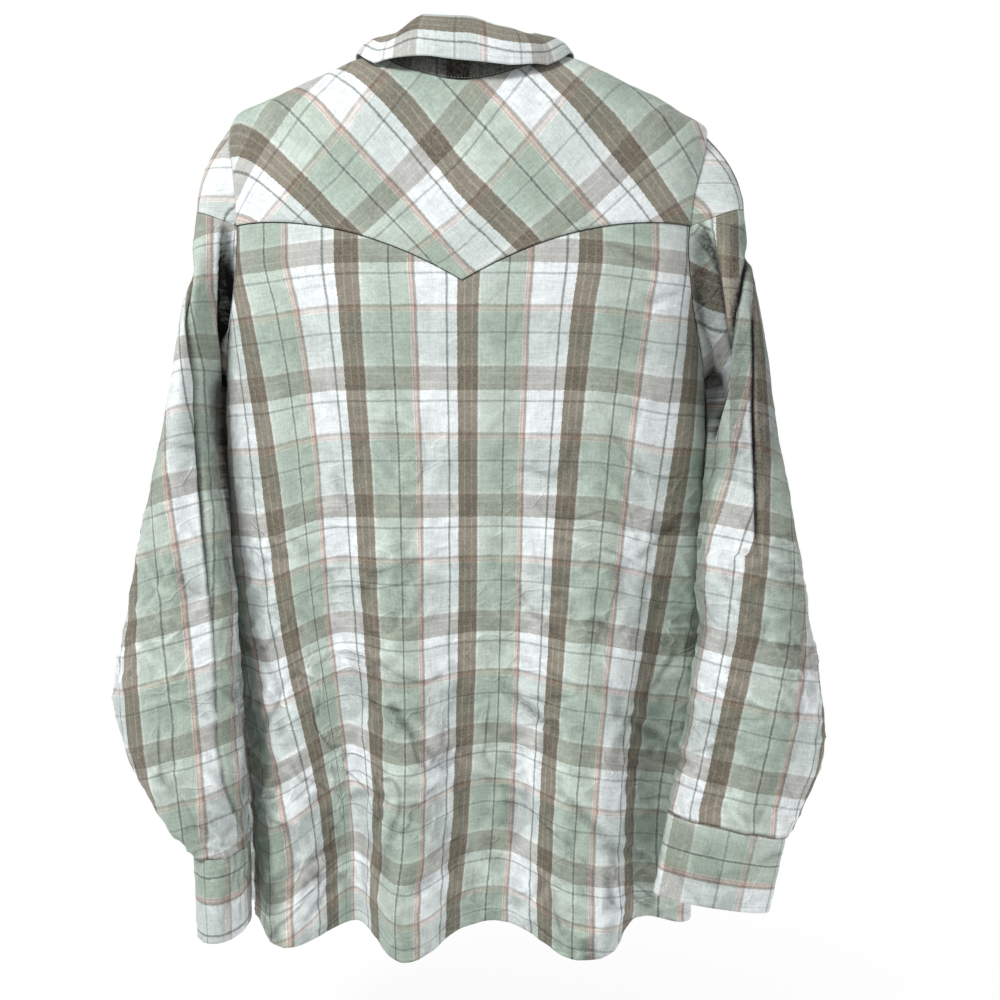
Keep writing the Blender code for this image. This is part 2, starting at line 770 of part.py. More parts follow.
def grid_normals(grid, closed):
    """Unit normals of a grid, pointing away from the middle of each row."""
    rows, cols = len(grid), len(grid[0])
    normals = []
    for i in range(rows):
        row = []
        for j in range(cols):
            down = grid[min(i + 1, rows - 1)][j] - grid[max(i - 1, 0)][j]
            if closed:
                along = grid[i][(j + 1) % cols] - grid[i][j - 1]
            else:
                along = grid[i][min(j + 1, cols - 1)] - grid[i][max(j - 1, 0)]
            row.append(along.cross(down).normalized())
        normals.append(row)
    middle_row = rows // 2
    centre = sum(grid[middle_row], Vector()) / cols
    leaning = sum((p - centre).dot(n) for p, n in zip(grid[middle_row], normals[middle_row]))
    if leaning < 0:
        normals = [[-n for n in row] for row in normals]
    return normals


ArmSeam = namedtuple("ArmSeam", "point inward apart")


def arm_seams(side):
    """For each armhole station: its point, its mitred inner way, and the way off the seam."""
    angles = armhole_angles(side)
    rings = sleeve_rings(side)
    cap = cap_rings(side)
    points = [armhole_point(side, angle) for angle in angles]
    seams = []
    for k in range(STATIONS):
        tangent = (points[(k + 1) % STATIONS] - points[k - 1]).normalized()
        if is_cap(k):
            leave = cap[1][k - YOKE_STATION] - points[k]
        else:
            leave = rings[1][k] - points[k]
        leave = (leave - tangent * leave.dot(tangent)).normalized()
        middle = sum(points, Vector()) / STATIONS
        sleeve_out = tangent.cross(leave).normalized()
        if sleeve_out.dot(points[k] - middle) < 0:
            sleeve_out = -sleeve_out
        place = (angle_at_armhole(points[k]), points[k].z)
        body_out = normal_of(around, *place)
        both = body_out + sleeve_out
        mitre = min(LONGEST_MITRE, 2 / max(both.length, 0.2))
        inward = both.normalized() * -(WALL * mitre)
        apart = tangent.cross(inward).normalized()
        if apart.dot(leave) < 0:
            apart = -apart
        seams.append(ArmSeam(points[k], inward, apart))
    return seams


def angle_at_armhole(point):
    return angle_of(point.x, point.z, back=point.y <= 0)


ARM_SEAMS = {side: arm_seams(side) for side in (-1, 1)}


# ---------------------------------------------------------------- the body's pieces
def arm_coordinates(side, stations):
    """Armhole stations as (angle, z)."""
    points = [ARM_SEAMS[side][k % STATIONS].point for k in stations]
    return [(angle_at_armhole(p), p.z) for p in points]


def make_back():
    top = [(angle_of(x, z) if x else 0.0, z) for x, z in yoke_seam_points()]
    sides = {}
    edges = {}
    for side in (-1, 1):
        stations = range(YOKE_STATION, -1, -1)
        rows = arm_coordinates(side, stations)
        rows[0] = top[0 if side < 0 else -1]
        rows[-1] = (side * math.pi / 2, rows[-1][1])
        sides[side] = rows + [(side * math.pi / 2, z) for z in side_rows(side)]
        for i, k in enumerate(stations):
            edges[(i, 0 if side < 0 else YOKE_COLUMNS)] = (side, k)
    bottom = []
    for i in range(YOKE_COLUMNS + 1):
        angle = mix(-math.pi / 2, math.pi / 2, i / YOKE_COLUMNS)
        bottom.append((angle, hem_z(angle)))
    return body_panel("back", around, (top, bottom, sides[-1], sides[1]), "pale", edges, hold=2)


def shoulder_seam(side):
    """From the neck out to the armhole, as shoulder coordinates."""
    start = sweep_of(neck_point(side * SHOULDER_SEAM_NECK))
    end = sweep_of(ARM_SEAMS[side][SHOULDER_STATION].point)
    return [
        tuple(mix(a, b, i / SHOULDER_STEPS) for a, b in zip(start, end))
        for i in range(SHOULDER_STEPS + 1)
    ]


def make_back_yoke():
    seam = [sweep_of(around(angle_of(x, z) if x else 0.0, z)) for x, z in yoke_seam_points()]
    neck = [
        sweep_of(neck_point(mix(-SHOULDER_SEAM_NECK, SHOULDER_SEAM_NECK, i / NECK_STEPS)))
        for i in range(NECK_STEPS + 1)
    ]
    top = shoulder_seam(-1)[::-1] + neck[1:-1] + shoulder_seam(1)
    sides = {}
    edges = {}
    for side in (-1, 1):
        stations = range(SHOULDER_STATION, YOKE_STATION - 1, -1)
        sides[side] = [sweep_of(ARM_SEAMS[side][k].point) for k in stations]
        for i, k in enumerate(stations):
            edges[(i, 0 if side < 0 else YOKE_COLUMNS)] = (side, k)
    return body_panel("back_yoke", over, (top, seam, sides[-1], sides[1]), "sage", edges, hold=4)


def band_edge(side, z):
    """The seam of a front with its band, as (angle, z)."""
    return (angle_of(side * (BAND_WIDTH / 2 + spread(z)), z, back=False), z)


def front_rows(side):
    """Heights of the rows of a front at its band."""
    low = hem_z(math.pi)
    count = FRONT_ARM_STEPS + SIDE_ROWS
    arm_share = (ARMHOLES[side].bottom * MM - FRONT_YOKE_Z) / (low - FRONT_YOKE_Z)
    shares = [arm_share * i / FRONT_ARM_STEPS for i in range(FRONT_ARM_STEPS)]
    shares += [mix(arm_share, 1.0, i / SIDE_ROWS) for i in range(count - FRONT_ARM_STEPS + 1)]
    return [mix(FRONT_YOKE_Z, low, share) for share in shares]


def make_front(side, name):
    top = [(angle_of(x, z, back=False), z) for x, z in front_yoke_seam_points(side)]
    stations = range(FRONT_YOKE_STATION, STATIONS + 1)
    arm = arm_coordinates(side, stations)
    arm[0] = top[0]
    arm[-1] = (side * math.pi / 2, arm[-1][1])
    outer = arm + [(side * math.pi / 2, z) for z in side_rows(side)]
    inner = [band_edge(side, z) for z in front_rows(side)]
    inner[0] = top[-1]
    bottom = []
    for i in range(FRONT_COLUMNS + 1):
        angle = mix(outer[-1][0], inner[-1][0], i / FRONT_COLUMNS)
        bottom.append((angle, hem_z(angle)))
    inner[-1] = bottom[-1]
    edges = {(i, 0): (side, k) for i, k in enumerate(stations)}
    return body_panel(name, around, (top, bottom, outer, inner), "white", edges)


def make_front_yoke(side, name):
    top = shoulder_seam(side)[::-1]
    top = [
        tuple(mix(top[0][k], top[-1][k], i / FRONT_COLUMNS) for k in (0, 1))
        for i in range(FRONT_COLUMNS + 1)
    ]
    stations = range(SHOULDER_STATION, FRONT_YOKE_STATION + 1)
    outer = [sweep_of(ARM_SEAMS[side][k].point) for k in stations]
    neck = [
        sweep_of(neck_point(side * mix(SHOULDER_SEAM_NECK, NECK_BAND, i / FRONT_NECK_STEPS)))
        for i in range(FRONT_NECK_STEPS + 1)
    ]
    edge_steps = FRONT_YOKE_STEPS - FRONT_NECK_STEPS
    neck_z = neck_point(side * NECK_BAND).z
    low_z = front_yoke_seam_points(side)[-1][1]
    edge = [
        sweep_of(around(*band_edge(side, mix(neck_z, low_z, i / edge_steps))))
        for i in range(1, edge_steps + 1)
    ]
    seam = [sweep_of(around(angle_of(x, z, back=False), z)) for x, z in front_yoke_seam_points(side)]
    edges = {(i, 0): (side, k) for i, k in enumerate(stations)}
    return body_panel(name, over, (top, seam, outer, neck + edge), "sage", edges, hold=4)


def make_band(side, name, step):
    """A snap band down the middle of the front, step deeper than the fronts."""
    neck = [neck_point(side * mix(NECK_BAND, NECK_END, i / BAND_STEPS)) for i in range(BAND_STEPS + 1)]
    neck = [(angle_at_armhole(p), p.z) for p in neck]
    rows = [neck[0][1], mix(neck[0][1], FRONT_YOKE_Z, 0.5)] + front_rows(side)
    grid = []
    inward = []
    for i, z in enumerate(rows):
        row = []
        ways = []
        for j in range(BAND_STEPS + 1):
            x = side * (mix(BAND_WIDTH / 2, -BAND_WIDTH / 2, j / BAND_STEPS) + spread(z))
            place = neck[j] if i == 0 else (front_angle(x, z), z)
            out = normal_of(around, *place)
            row.append(around(*place) - out * step)
            ways.append(out * -WALL)
        grid.append(row)
        inward.append(ways)
    return wall(name, pull_in(grid), inward, "white")


def front_angle(x, z):
    """The angle of a point on the front, which may cross the middle."""
    angle = angle_of(x, z, back=False) if x else math.pi
    return angle if angle > 0 else angle + 2 * math.pi


# ---------------------------------------------------------------- sleeves and cuffs
def make_sleeve_cap(side, name):
    rows = cap_rings(side)
    whole = rows + [[ring[k] for k in range(YOKE_STATION, FRONT_YOKE_STATION + 1)]
                    for ring in sleeve_rings(side)[1:2]]
    normals = grid_normals(whole, closed=False)[:-1]
    last = len(rows[0]) - 1
    inward = [[n * -WALL for n in row] for row in normals]
    moved = pull_in(rows, edges="b")
    seam_ways = seam_normals(side)
    for j in range(last + 1):
        k = YOKE_STATION + j
        seam = ARM_SEAMS[side][k]
        moved[0][j] = rows[0][j] + seam.apart * (SEAM_GAP / 2)
        inward[0][j] = seam.inward
        inward[-1][j] = seam_ways[k]
    for i in range(len(rows)):
        for j, beside in ((0, 1), (last, last - 1)):
            seam = ARM_SEAMS[side][YOKE_STATION + j]
            tip = rows[0][j] + (rows[0][beside] - rows[0][j]).normalized() * (4 * SEAM_GAP)
            moved[i][j] = tip + seam.apart * SEAM_GAP
            inward[i][j] = seam.inward
    return wall(name, moved, inward, "white")


def seam_normals(side):
    """The inner way of each station of the sleeve's first ring, shared by both pieces."""
    rings = sleeve_rings(side)
    cap = cap_rings(side)
    ways = []
    for k in range(STATIONS):
        if not is_cap(k):
            ways.append(ARM_SEAMS[side][k].inward)
            continue
        down = rings[1][k] - cap[-2][k - YOKE_STATION]
        along = rings[0][(k + 1) % STATIONS] - rings[0][k - 1]
        out = along.cross(down).normalized()
        middle = sum(rings[0], Vector()) / STATIONS
        if out.dot(rings[0][k] - middle) < 0:
            out = -out
        ways.append(out * -WALL)
    return ways


def make_sleeve(side, name):
    rings = sleeve_rings(side)
    inward = [[n * -WALL for n in row] for row in grid_normals(rings, closed=True)]
    inward[0] = seam_normals(side)
    moved = pull_in(rings, closed=True, edges="tb")
    for k in range(STATIONS):
        if not is_cap(k):
            moved[0][k] = rings[0][k] + ARM_SEAMS[side][k].apart * (SEAM_GAP / 2)
    return wall(name, moved, inward, "pale", closed=True)


def make_placket(side, name):
    """The band on the sleeve slit, over the back of the sleeve just above the cuff."""
    rings = sleeve_rings(side)
    angles = armhole_angles(side)
    normals = grid_normals(rings, closed=True)
    stations = sorted(range(STATIONS), key=lambda k: abs(angles[k] - PLACKET_ANGLE[side]))[:2]
    low, high = min(stations), max(stations)
    lift = SEAM_GAP
    rows = range(SLEEVE_ROWS - PLACKET_ROWS, SLEEVE_ROWS + 1)
    outer, inward = [], []
    for i in rows:
        row, ways = [], []
        for k in (low, high):
            out = normals[i][k]
            row.append(rings[i][k] + out * (lift + WALL))
            ways.append(out * -WALL)
        middle = (row[0] + row[1]) / 2
        half = (row[1] - row[0]).normalized() * PLACKET_WIDTH / 2
        outer.append([middle - half, middle + half])
        inward.append(ways)
    return wall(name, pull_in(outer, edges="tb", by=3 * SEAM_GAP), inward, "sage")


def cuff_out(ring, side, degrees):
    """Level unit way off a cuff's surface, outwards."""
    along = ring_point(ring, side, degrees + 3) - ring_point(ring, side, degrees - 3)
    return along.cross(Vector((0, 0, -side))).normalized()


def make_cuff(side, name):
    """A barrel cuff: a strip round the wrist whose last stretch lies over its first."""
    top, bottom = CUFFS[side]
    outer = []
    for i in range(CUFF_ROWS + 1):
        v = i / CUFF_ROWS
        ring = Ring(*(mix(a, b, v) for a, b in zip(top, bottom)))
        row = []
        for j in range(int((360 + CUFF_OVERLAP) / CUFF_STEP) + 1):
            turned = CUFF_STEP * j
            lift = CUFF_LAP_LIFT * ease((turned - 360) / CUFF_LAP_RISE + CUFF_LAP_LEAD)
            degrees = CUFF_LAP_START[side] - turned
            row.append(ring_point(ring, side, degrees) + cuff_out(ring, side, degrees) * lift)
        outer.append(row)
    normals = grid_normals(outer, closed=False)
    inward = [[n * -STIFF_WALL for n in row] for row in normals]
    return wall(name, outer, inward, "sage")


# ---------------------------------------------------------------- collar
def collar_value(name, degrees):
    keys = [row.angle for row in COLLAR]
    return curve_through(keys, [getattr(row, name) * MM for row in COLLAR], degrees)


def neck_out(degrees):
    """Level unit way off the neck, outwards."""
    turn = math.radians(degrees)
    return Vector((
        math.sin(turn) / NECK_HALF_WIDTH,
        -math.cos(turn) * 2 / (NECK_FRONT_Y - NECK_BACK_Y),
        0,
    )).normalized()


def stand_top(degrees):
    point = neck_point(degrees) - neck_out(degrees) * collar_value("lean", degrees)
    point.z += collar_value("stand", degrees)
    return point


def make_collar_stand():
    bottom, top = [], []
    ways = []
    for degrees in neck_angles():
        ways.append(neck_out(degrees) * -STIFF_WALL)
        bottom.append(neck_point(degrees) + Vector((0, 0, SEAM_GAP)))
        top.append(stand_top(degrees))
    middle = [(a + b) / 2 + neck_out(d) * STAND_BELLY for a, b, d in zip(bottom, top, neck_angles())]
    return wall("collar_stand", [top, middle, bottom], [ways] * 3, "pale")


def resting_z(point, out):
    """Height at which the fall lies on the shirt there."""
    nearer = point - out * FALL_CLEAR
    return max(top_of_body(point.x, point.y), top_of_body(nearer.x, nearer.y)) + WALL + FALL_CLEAR


def make_collar_fall():
    """The fall: up from the stand, over the fold, down to its edge, with its points."""
    profiles = []
    angles = neck_angles()
    for n, degrees in enumerate(angles):
        out = neck_out(degrees)
        end = abs(2 * n / (len(angles) - 1) - 1)
        point_part = max(0.0, (end - COLLAR_POINT_START) / (1 - COLLAR_POINT_START))
        root = stand_top(degrees) + Vector((0, 0, SEAM_GAP)) + out * FALL_OFF_STAND
        fold = neck_point(degrees) - out * (collar_value("lean", degrees) - FOLD_LEAN_BACK)
        fold.z += max(collar_value("fold", degrees), collar_value("stand", degrees) + FALL_RISE)
        over_fold = fold + out * FOLD_THICK
        edge = neck_point(degrees) + out * collar_value("out", degrees)
        sideways = Vector((math.copysign(1, degrees), 0, 0))
        edge += sideways * COLLAR_POINT * point_part ** COLLAR_POINT_POWER
        edge.z = max(collar_value("edge", degrees), resting_z(edge, out))
        profile = [root, fold, over_fold]
        belly = out * FALL_BELLY_OUT + Vector((0, 0, FALL_BELLY_UP))
        for i in range(1, FALL_ROWS + 1):
            t = i / FALL_ROWS
            point = mix(over_fold, edge, t) + belly * math.sin(math.pi * t)
            point.z = max(point.z, resting_z(point, out))
            profile.append(point)
        profiles.append(profile)
    grid = [[profile[i] for profile in profiles] for i in range(len(profiles[0]))]
    normals = grid_normals(grid, closed=False)
    return grid, normals


def make_fall_wall():
    grid, normals = make_collar_fall()
    # The grid runs up the inside and down the outside, so its walls lie under the fold.
    if normals[-1][len(grid[0]) // 2].y > 0:
        normals = [[-n for n in row] for row in normals]
    inward = [[n * -WALL for n in row] for row in normals]
    return wall("collar_fall", grid, inward, "sage")


# ---------------------------------------------------------------- snaps
def make_snap(name, place, out):
    """A round domed cap whose flat back faces the cloth."""
    rings = [(1.0, 0.0), (1.0, 0.35), (0.86, 0.75), (0.5, 1.0)]
    side = out.cross(Vector((0, 0, 1))).normalized()
    up = side.cross(out).normalized()
    verts = []
    for wide, high in rings:
        for k in range(SNAP_SIDES):
            turn = 2 * math.pi * k / SNAP_SIDES
            flat = (side * math.cos(turn) + up * math.sin(turn)) * SNAP_R * wide
            verts.append(place + out * (SNAP_CLEAR + SNAP_HEIGHT * high) + flat)
    faces = [tuple(range(SNAP_SIDES))]
    for i in range(len(rings) - 1):
        for k in range(SNAP_SIDES):
            a, b = i * SNAP_SIDES + k, i * SNAP_SIDES + (k + 1) % SNAP_SIDES
            faces.append((a, b, b + SNAP_SIDES, a + SNAP_SIDES))
    faces.append(tuple(range((len(rings) - 1) * SNAP_SIDES, len(rings) * SNAP_SIDES)))
    return add_object(name, verts, faces, "pearl")


def make_front_snaps():
    for n in range(FRONT_SNAPS):
        z = FIRST_SNAP_Z - SNAP_PITCH * n
        place = (math.pi, z)
        make_snap(f"snap_front_{n + 1}", around(*place), normal_of(around, *place))


def make_stand_snaps():
    """The open top snap: its cap on the left end, its socket on the right."""
    for side, name in ((-1, "snap_stand_cap"), (1, "snap_stand_socket")):
        degrees = side * mix(NECK_BAND, NECK_END, STAND_SNAP_ALONG)
        low, high = neck_point(degrees), stand_top(degrees)
        along = neck_point(degrees + 1) - neck_point(degrees - 1)
        out = along.cross(high - low).normalized()
        make_snap(name, mix(low, high, STAND_SNAP_UP) + out * STAND_BELLY, out)


def make_cuff_snaps(side, name):
    top, bottom = CUFFS[side]
    degrees = CUFF_LAP_START[side] - CUFF_OVERLAP / 2
    for n, share in enumerate(CUFF_SNAP_PLACES):
        ring = Ring(*(mix(a, b, share) for a, b in zip(top, bottom)))
        out = cuff_out(ring, side, degrees)
        here = ring_point(ring, side, degrees) + out * (CUFF_LAP_LIFT + SNAP_CLEAR)
        make_snap(f"{name}_{n + 1}", here, out)


# ---------------------------------------------------------------- the whole shirt
def main():
    clear_scene()
    make_back()
    make_back_yoke()
    for side, word in ((-1, "left"), (1, "right")):
        make_front(side, f"front_{word}")
        make_front_yoke(side, f"front_yoke_{word}")
        make_sleeve_cap(side, f"sleeve_cap_{word}")
        make_sleeve(side, f"sleeve_{word}")
        make_placket(side, f"sleeve_placket_{word}")
        make_cuff(side, f"cuff_{word}")
        make_cuff_snaps(side, f"snap_cuff_{word}")
    make_band(-1, "front_band", 0.0)
    make_band(1, "under_band", BAND_STEP)
    make_collar_stand()
    make_fall_wall()
    make_front_snaps()
    make_stand_snaps()


main()
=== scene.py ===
# %% [markdown]
# # A men's western snap shirt
#
# This file dresses the plain CAD model of the shirt in cloth, thread and pearl.
# The frame comes first: every piece made here sits on it, in metres, +Z up.
# The back of the shirt faces -Y and the wearer's right is +X.

# %% Load the frame
import math

import bmesh
import bpy
import numpy as np
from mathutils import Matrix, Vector, noise


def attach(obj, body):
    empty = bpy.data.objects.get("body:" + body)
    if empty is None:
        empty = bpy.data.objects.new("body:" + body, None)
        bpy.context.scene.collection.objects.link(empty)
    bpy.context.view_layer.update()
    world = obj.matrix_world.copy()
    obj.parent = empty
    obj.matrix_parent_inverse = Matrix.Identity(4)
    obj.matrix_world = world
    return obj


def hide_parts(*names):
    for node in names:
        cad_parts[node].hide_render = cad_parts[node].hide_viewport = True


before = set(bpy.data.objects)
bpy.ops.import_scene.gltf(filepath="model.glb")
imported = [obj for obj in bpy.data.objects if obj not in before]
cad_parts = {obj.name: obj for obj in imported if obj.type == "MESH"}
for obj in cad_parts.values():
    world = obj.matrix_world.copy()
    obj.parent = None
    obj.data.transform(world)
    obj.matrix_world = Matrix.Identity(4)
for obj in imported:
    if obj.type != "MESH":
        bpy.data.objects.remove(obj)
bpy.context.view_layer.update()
MM = 0.001
SIDES = ((-1, "left"), (1, "right"))        # the wearer's

# %% [markdown]
# ## The camera
#
# The shirt is seen square on to its back, from a little over a metre away. A level
# camera keeps upright lines upright.

# %% Camera
camera = bpy.data.objects.new("camera", bpy.data.cameras.new("camera"))
camera.location = (0.0353, -1.24, -0.395)
camera.rotation_euler = (math.radians(90), 0, 0)
camera.data.sensor_width = 36
camera.data.lens = 44.5176
camera.data.clip_start = 0.01
bpy.context.scene.collection.objects.link(camera)
bpy.context.scene.camera = camera
SEEN_SCALE = 1000 * camera.data.lens / camera.data.sensor_width


def seen(place):
    """Where the camera sees points, in thousandths of the picture, right and down."""
    away = place - np.array(camera.location)
    right, up = (SEEN_SCALE * away[..., k] / away[..., 1] for k in (0, 2))
    return 500 + right, 500 - up


def line_x(line, y):
    """How far right a drawn line, (right, down) points from its top, is at each height."""
    line = np.array(line, float)
    return np.interp(y, line[:, 1], line[:, 0])


print("camera lens, mm:", round(camera.data.lens, 1))

# %% [markdown]
# ## The body of the shirt
#
# A filled-out shirt is a tube whose level cuts are rounded boxes. Sculpting it by
# hand would work, but the CAD model already says how wide and deep each level is,
# so the same sizes are repeated here and read at any height by a smooth curve.

# %% Curves and points
def mix(a, b, t):
    return a + (b - a) * t


def ease(t):
    t = np.clip(t, 0, 1)
    return t * t * (3 - 2 * t)


def bump(angle, middle, spread):
    """1 at the middle, 0 beyond the spread, round between; angles in degrees."""
    away = (angle - middle + 180.0) % 360.0 - 180.0
    return np.where(abs(away) < spread, np.cos(np.pi / 2 * away / spread) ** 2, 0.0)


def unit(ways):
    return ways / np.maximum(np.linalg.norm(ways, axis=-1, keepdims=True), 1e-9)


def together(*parts):
    """Arrays as the last axis of one, each spread out to the same shape."""
    return np.stack(np.broadcast_arrays(*parts), axis=-1)


def points(x, y, z):
    return together(x, y, z).astype(float)


def run_length(line):
    """How far along a row of points each of them lies, in metres."""
    steps = np.linalg.norm(np.diff(line, axis=0), axis=-1)
    return np.concatenate([0 * steps[:1], np.cumsum(steps, axis=0)])


def smooth_curve(keys, values, at):
    """A smooth curve through the rows of a table, which never swings past them."""
    keys, values = np.asarray(keys, float), np.asarray(values, float)
    span = np.diff(keys)
    rise = np.diff(values) / span
    slope = np.zeros_like(values)
    product, total = rise[:-1] * rise[1:], rise[:-1] + rise[1:]
    slope[1:-1] = np.where(product > 0, 2 * product / np.where(product > 0, total, 1), 0)
    at = np.clip(at, keys[0], keys[-1])
    i = np.clip(np.searchsorted(keys, at, side="right") - 1, 0, len(keys) - 2)
    t = (at - keys[i]) / span[i]
    t2, t3 = t * t, t * t * t
    return (
        (2 * t3 - 3 * t2 + 1) * values[i] + (t3 - 2 * t2 + t) * span[i] * slope[i]
        + (3 * t2 - 2 * t3) * values[i + 1] + (t3 - t2) * span[i] * slope[i + 1]
    )


def curve_through(given, at):
    """A smooth curve through rows of points, read at row numbers that needn't be whole."""
    last = len(given) - 1
    i = np.minimum(at.astype(int), last - 1)
    t = (at - i)[:, None, None]
    before, a, b, after = (given[np.clip(i + k, 0, last)] for k in (-1, 0, 1, 2))
    return 0.5 * (
        2 * a + (b - before) * t + (2 * before - 5 * a + 4 * b - after) * t ** 2
        + (3 * a - before - 3 * b + after) * t ** 3
    )


# %% Widths and depths of the body
# height, half width left and right, depth back and front, in millimetres
TORSO = np.array([
    (60, 20, 20, 6, 6), (54, 60, 60, 12, 12), (48, 84, 84, 18, 18),
    (42, 110, 113, 26, 24), (30, 132, 137, 38, 29), (15, 161, 164, 52, 34),
    (0, 189, 195, 62, 40), (-18, 227, 221, 72, 50), (-31, 233, 241, 77, 56),
    (-60, 237, 241, 83, 66), (-100, 237, 238, 88, 79), (-150, 236, 235, 92, 92),
    (-200, 235, 234, 95, 100), (-300, 235, 238, 96, 105), (-350, 235, 239, 96, 105),
    (-414, 234, 238, 95, 103), (-500, 230, 235, 94, 100), (-600, 224, 229, 93, 98),
    (-700, 219, 220, 93, 96), (-810, 214, 214, 93, 96),
])[::-1] * MM
ROUNDNESS = 2.7
HEM_Z, HEM_RISE, HEM_DIP = -803 * MM, 10 * MM, 0.4

# Lengthwise folds: degrees round from the centre back, half width, start height, depth
BODY_FOLDS = [
    (-72, 18, -420, -9), (-42, 17, -300, 23), (-27, 14, -340, -21), (-14, 14, -360, 29),
    (8, 19, -300, -24), (29, 18, -260, 30), (47, 15, -330, -12), (66, 16, -380, 13),
    (112, 17, -360, 14), (134, 17, -330, -20), (152, 14, -280, 18),
    (-112, 17, -370, 15), (-133, 17, -320, -19), (-153, 14, -290, 17),
]


def sizes_at(z):
    """Half widths left and right, depths back and front, at each height."""
    return [smooth_curve(TORSO[:, 0], TORSO[:, i], z) for i in range(1, 5)]


def fold_depth(angle, z):
    degrees = np.degrees(angle)
    total = 0.0
    for middle, spread, start, depth in BODY_FOLDS:
        reach = (start * MM - z) / (start * MM - HEM_Z)
        total = total + depth * MM * ease(reach) * bump(degrees, middle, spread)
    return total


def hem_z(angle):
    return HEM_Z + HEM_RISE * np.sin(angle) ** 2 - HEM_DIP * fold_depth(angle, HEM_Z)


def around(angle, z):
    """Points of the body by their angle from the centre back and their height."""
    angle, z = np.broadcast_arrays(np.asarray(angle, float), np.asarray(z, float))
    across, behind = np.sin(angle), np.cos(angle)
    reach = (abs(across) ** ROUNDNESS + abs(behind) ** ROUNDNESS) ** (-1 / ROUNDNESS)
    left, right, back, front = sizes_at(z)
    wide, deep = np.where(across > 0, right, left), np.where(behind > 0, back, front)
    x, y = across * reach, -behind * reach
    steep = [np.sign(way) * abs(way) ** (ROUNDNESS - 1) for way in (x, y)]
    out = unit(points(steep[0] / wide, steep[1] / deep, 0))
    return points(wide * x, deep * y, z) + out * fold_depth(angle, z)[..., None]


print("half width at the chest, mm:", round(float(sizes_at(-0.2)[1]) / MM))

# %% [markdown]
# The shoulders can't be read by angle and height, because there the surface turns
# flat. They have coordinates of their own: how far across, and how far swept from
# the back over the shoulder line to the front.

# %% The shoulders and the neck
RIDGE_SCALE = 0.2
NECK_HALF_WIDTH, NECK_BACK_Y, NECK_FRONT_Y = 86 * MM, -58 * MM, 60 * MM


def half_width(x, z):
    left, right, _, _ = sizes_at(z)
    return np.where(x < 0, left, right)


def depth_at(z, y):
    _, _, back, front = sizes_at(z)
    return np.where(y < 0, back, front)


def angle_of(x, z, back=True):
    """The angle round the body where it is x across, at the back or the front."""
    part = np.minimum(0.99999, abs(x) / half_width(x, z))
    behind = (1 - part ** ROUNDNESS) ** (1 / ROUNDNESS)
    return np.copysign(np.arctan2(part, np.where(back, behind, -behind)), x)


def highest(is_low, low, high):
    """The greatest height, between two, that a test calls low."""
    for _ in range(30):
        middle = (low + high) / 2
        passed = is_low(middle)
        low, high = np.where(passed, middle, low), np.where(passed, high, middle)
    return low


def ridge_z(x):
    x = np.asarray(x, float)
    start = np.full(x.shape, 60 * MM)
    return highest(lambda z: half_width(x, z) > abs(x), -start, start)


def over(x, sweep):
    """Points of the shoulders, swept from the back (-) over the ridge to the front."""
    z = ridge_z(x) - RIDGE_SCALE * abs(sweep) ** ROUNDNESS
    part = np.minimum(1.0, abs(x) / half_width(x, z))
    y = depth_at(z, sweep) * (1 - part ** ROUNDNESS) ** (1 / ROUNDNESS)
    return points(x, np.copysign(y, sweep), z)


def sweep_of(place):
    """The shoulder coordinates (x, sweep) of points on the body."""
    below = np.maximum(0.0, ridge_z(place[..., 0]) - place[..., 2])
    sweep = np.copysign((below / RIDGE_SCALE) ** (1 / ROUNDNESS), place[..., 1])
    return np.stack([place[..., 0], sweep], axis=-1)


def top_of_body(x, y):
    """Height of the body's surface over points in plan."""
    def inside(z):
        wide, deep = half_width(x, z), depth_at(z, np.where(y > 0, 1, -1))
        return (abs(x) / wide) ** ROUNDNESS + (abs(y) / deep) ** ROUNDNESS < 1

    x, y = np.asarray(x, float), np.asarray(y, float)
    return highest(inside, np.full(x.shape, -400 * MM), np.full(x.shape, 60 * MM))


def neck_point(degrees):
    """Points of the neck seam, by degrees round from the centre back."""
    turn = np.radians(degrees)
    x = NECK_HALF_WIDTH * np.sin(turn)
    y = (NECK_BACK_Y + NECK_FRONT_Y) / 2 - (NECK_FRONT_Y - NECK_BACK_Y) / 2 * np.cos(turn)
    return points(x, y, top_of_body(x, y))


def neck_angle_at(x):
    """Degrees round the neck, on its front, where it is x across."""
    return 180 - math.degrees(math.asin(x / NECK_HALF_WIDTH))


print("shoulder height at x = 150 mm, mm:", round(float(ridge_z(0.15)) / MM))

# %% [markdown]
# ## Seams
#
# A shirt is cut in flat pieces, so the seams decide where each piece ends. Each seam
# is one curve that both of its neighbours read, cut finely, so no gap can open.

# %% The armholes
# top, bottom, depth at the back and the front, in millimetres
ARMHOLES = {-1: (-18, -272, 50, 50), 1: (-31, -276, 50, 50)}
YOKE_SIDE_Z, YOKE_POINT_DROP, YOKE_CURVE, YOKE_CORNER_X = -131 * MM, 60 * MM, 2.2, 118 * MM
FRONT_YOKE_Z, FRONT_YOKE_DROP, FRONT_YOKE_CURVE = -125 * MM, 44 * MM, 1.6
FRONT_YOKE_POINT_X = 118 * MM
SHOULDER_SEAM_NECK, SHOULDER_SEAM_ARM = 106.0, -22.0
BACK_ARM, YOKE_ARM, FRONT_YOKE_ARM, FRONT_ARM = 8, 8, 6, 8
YOKE_STATION, SHOULDER_STATION = BACK_ARM, BACK_ARM + YOKE_ARM
FRONT_YOKE_STATION = SHOULDER_STATION + FRONT_YOKE_ARM
LAST_STATION = FRONT_YOKE_STATION + FRONT_ARM


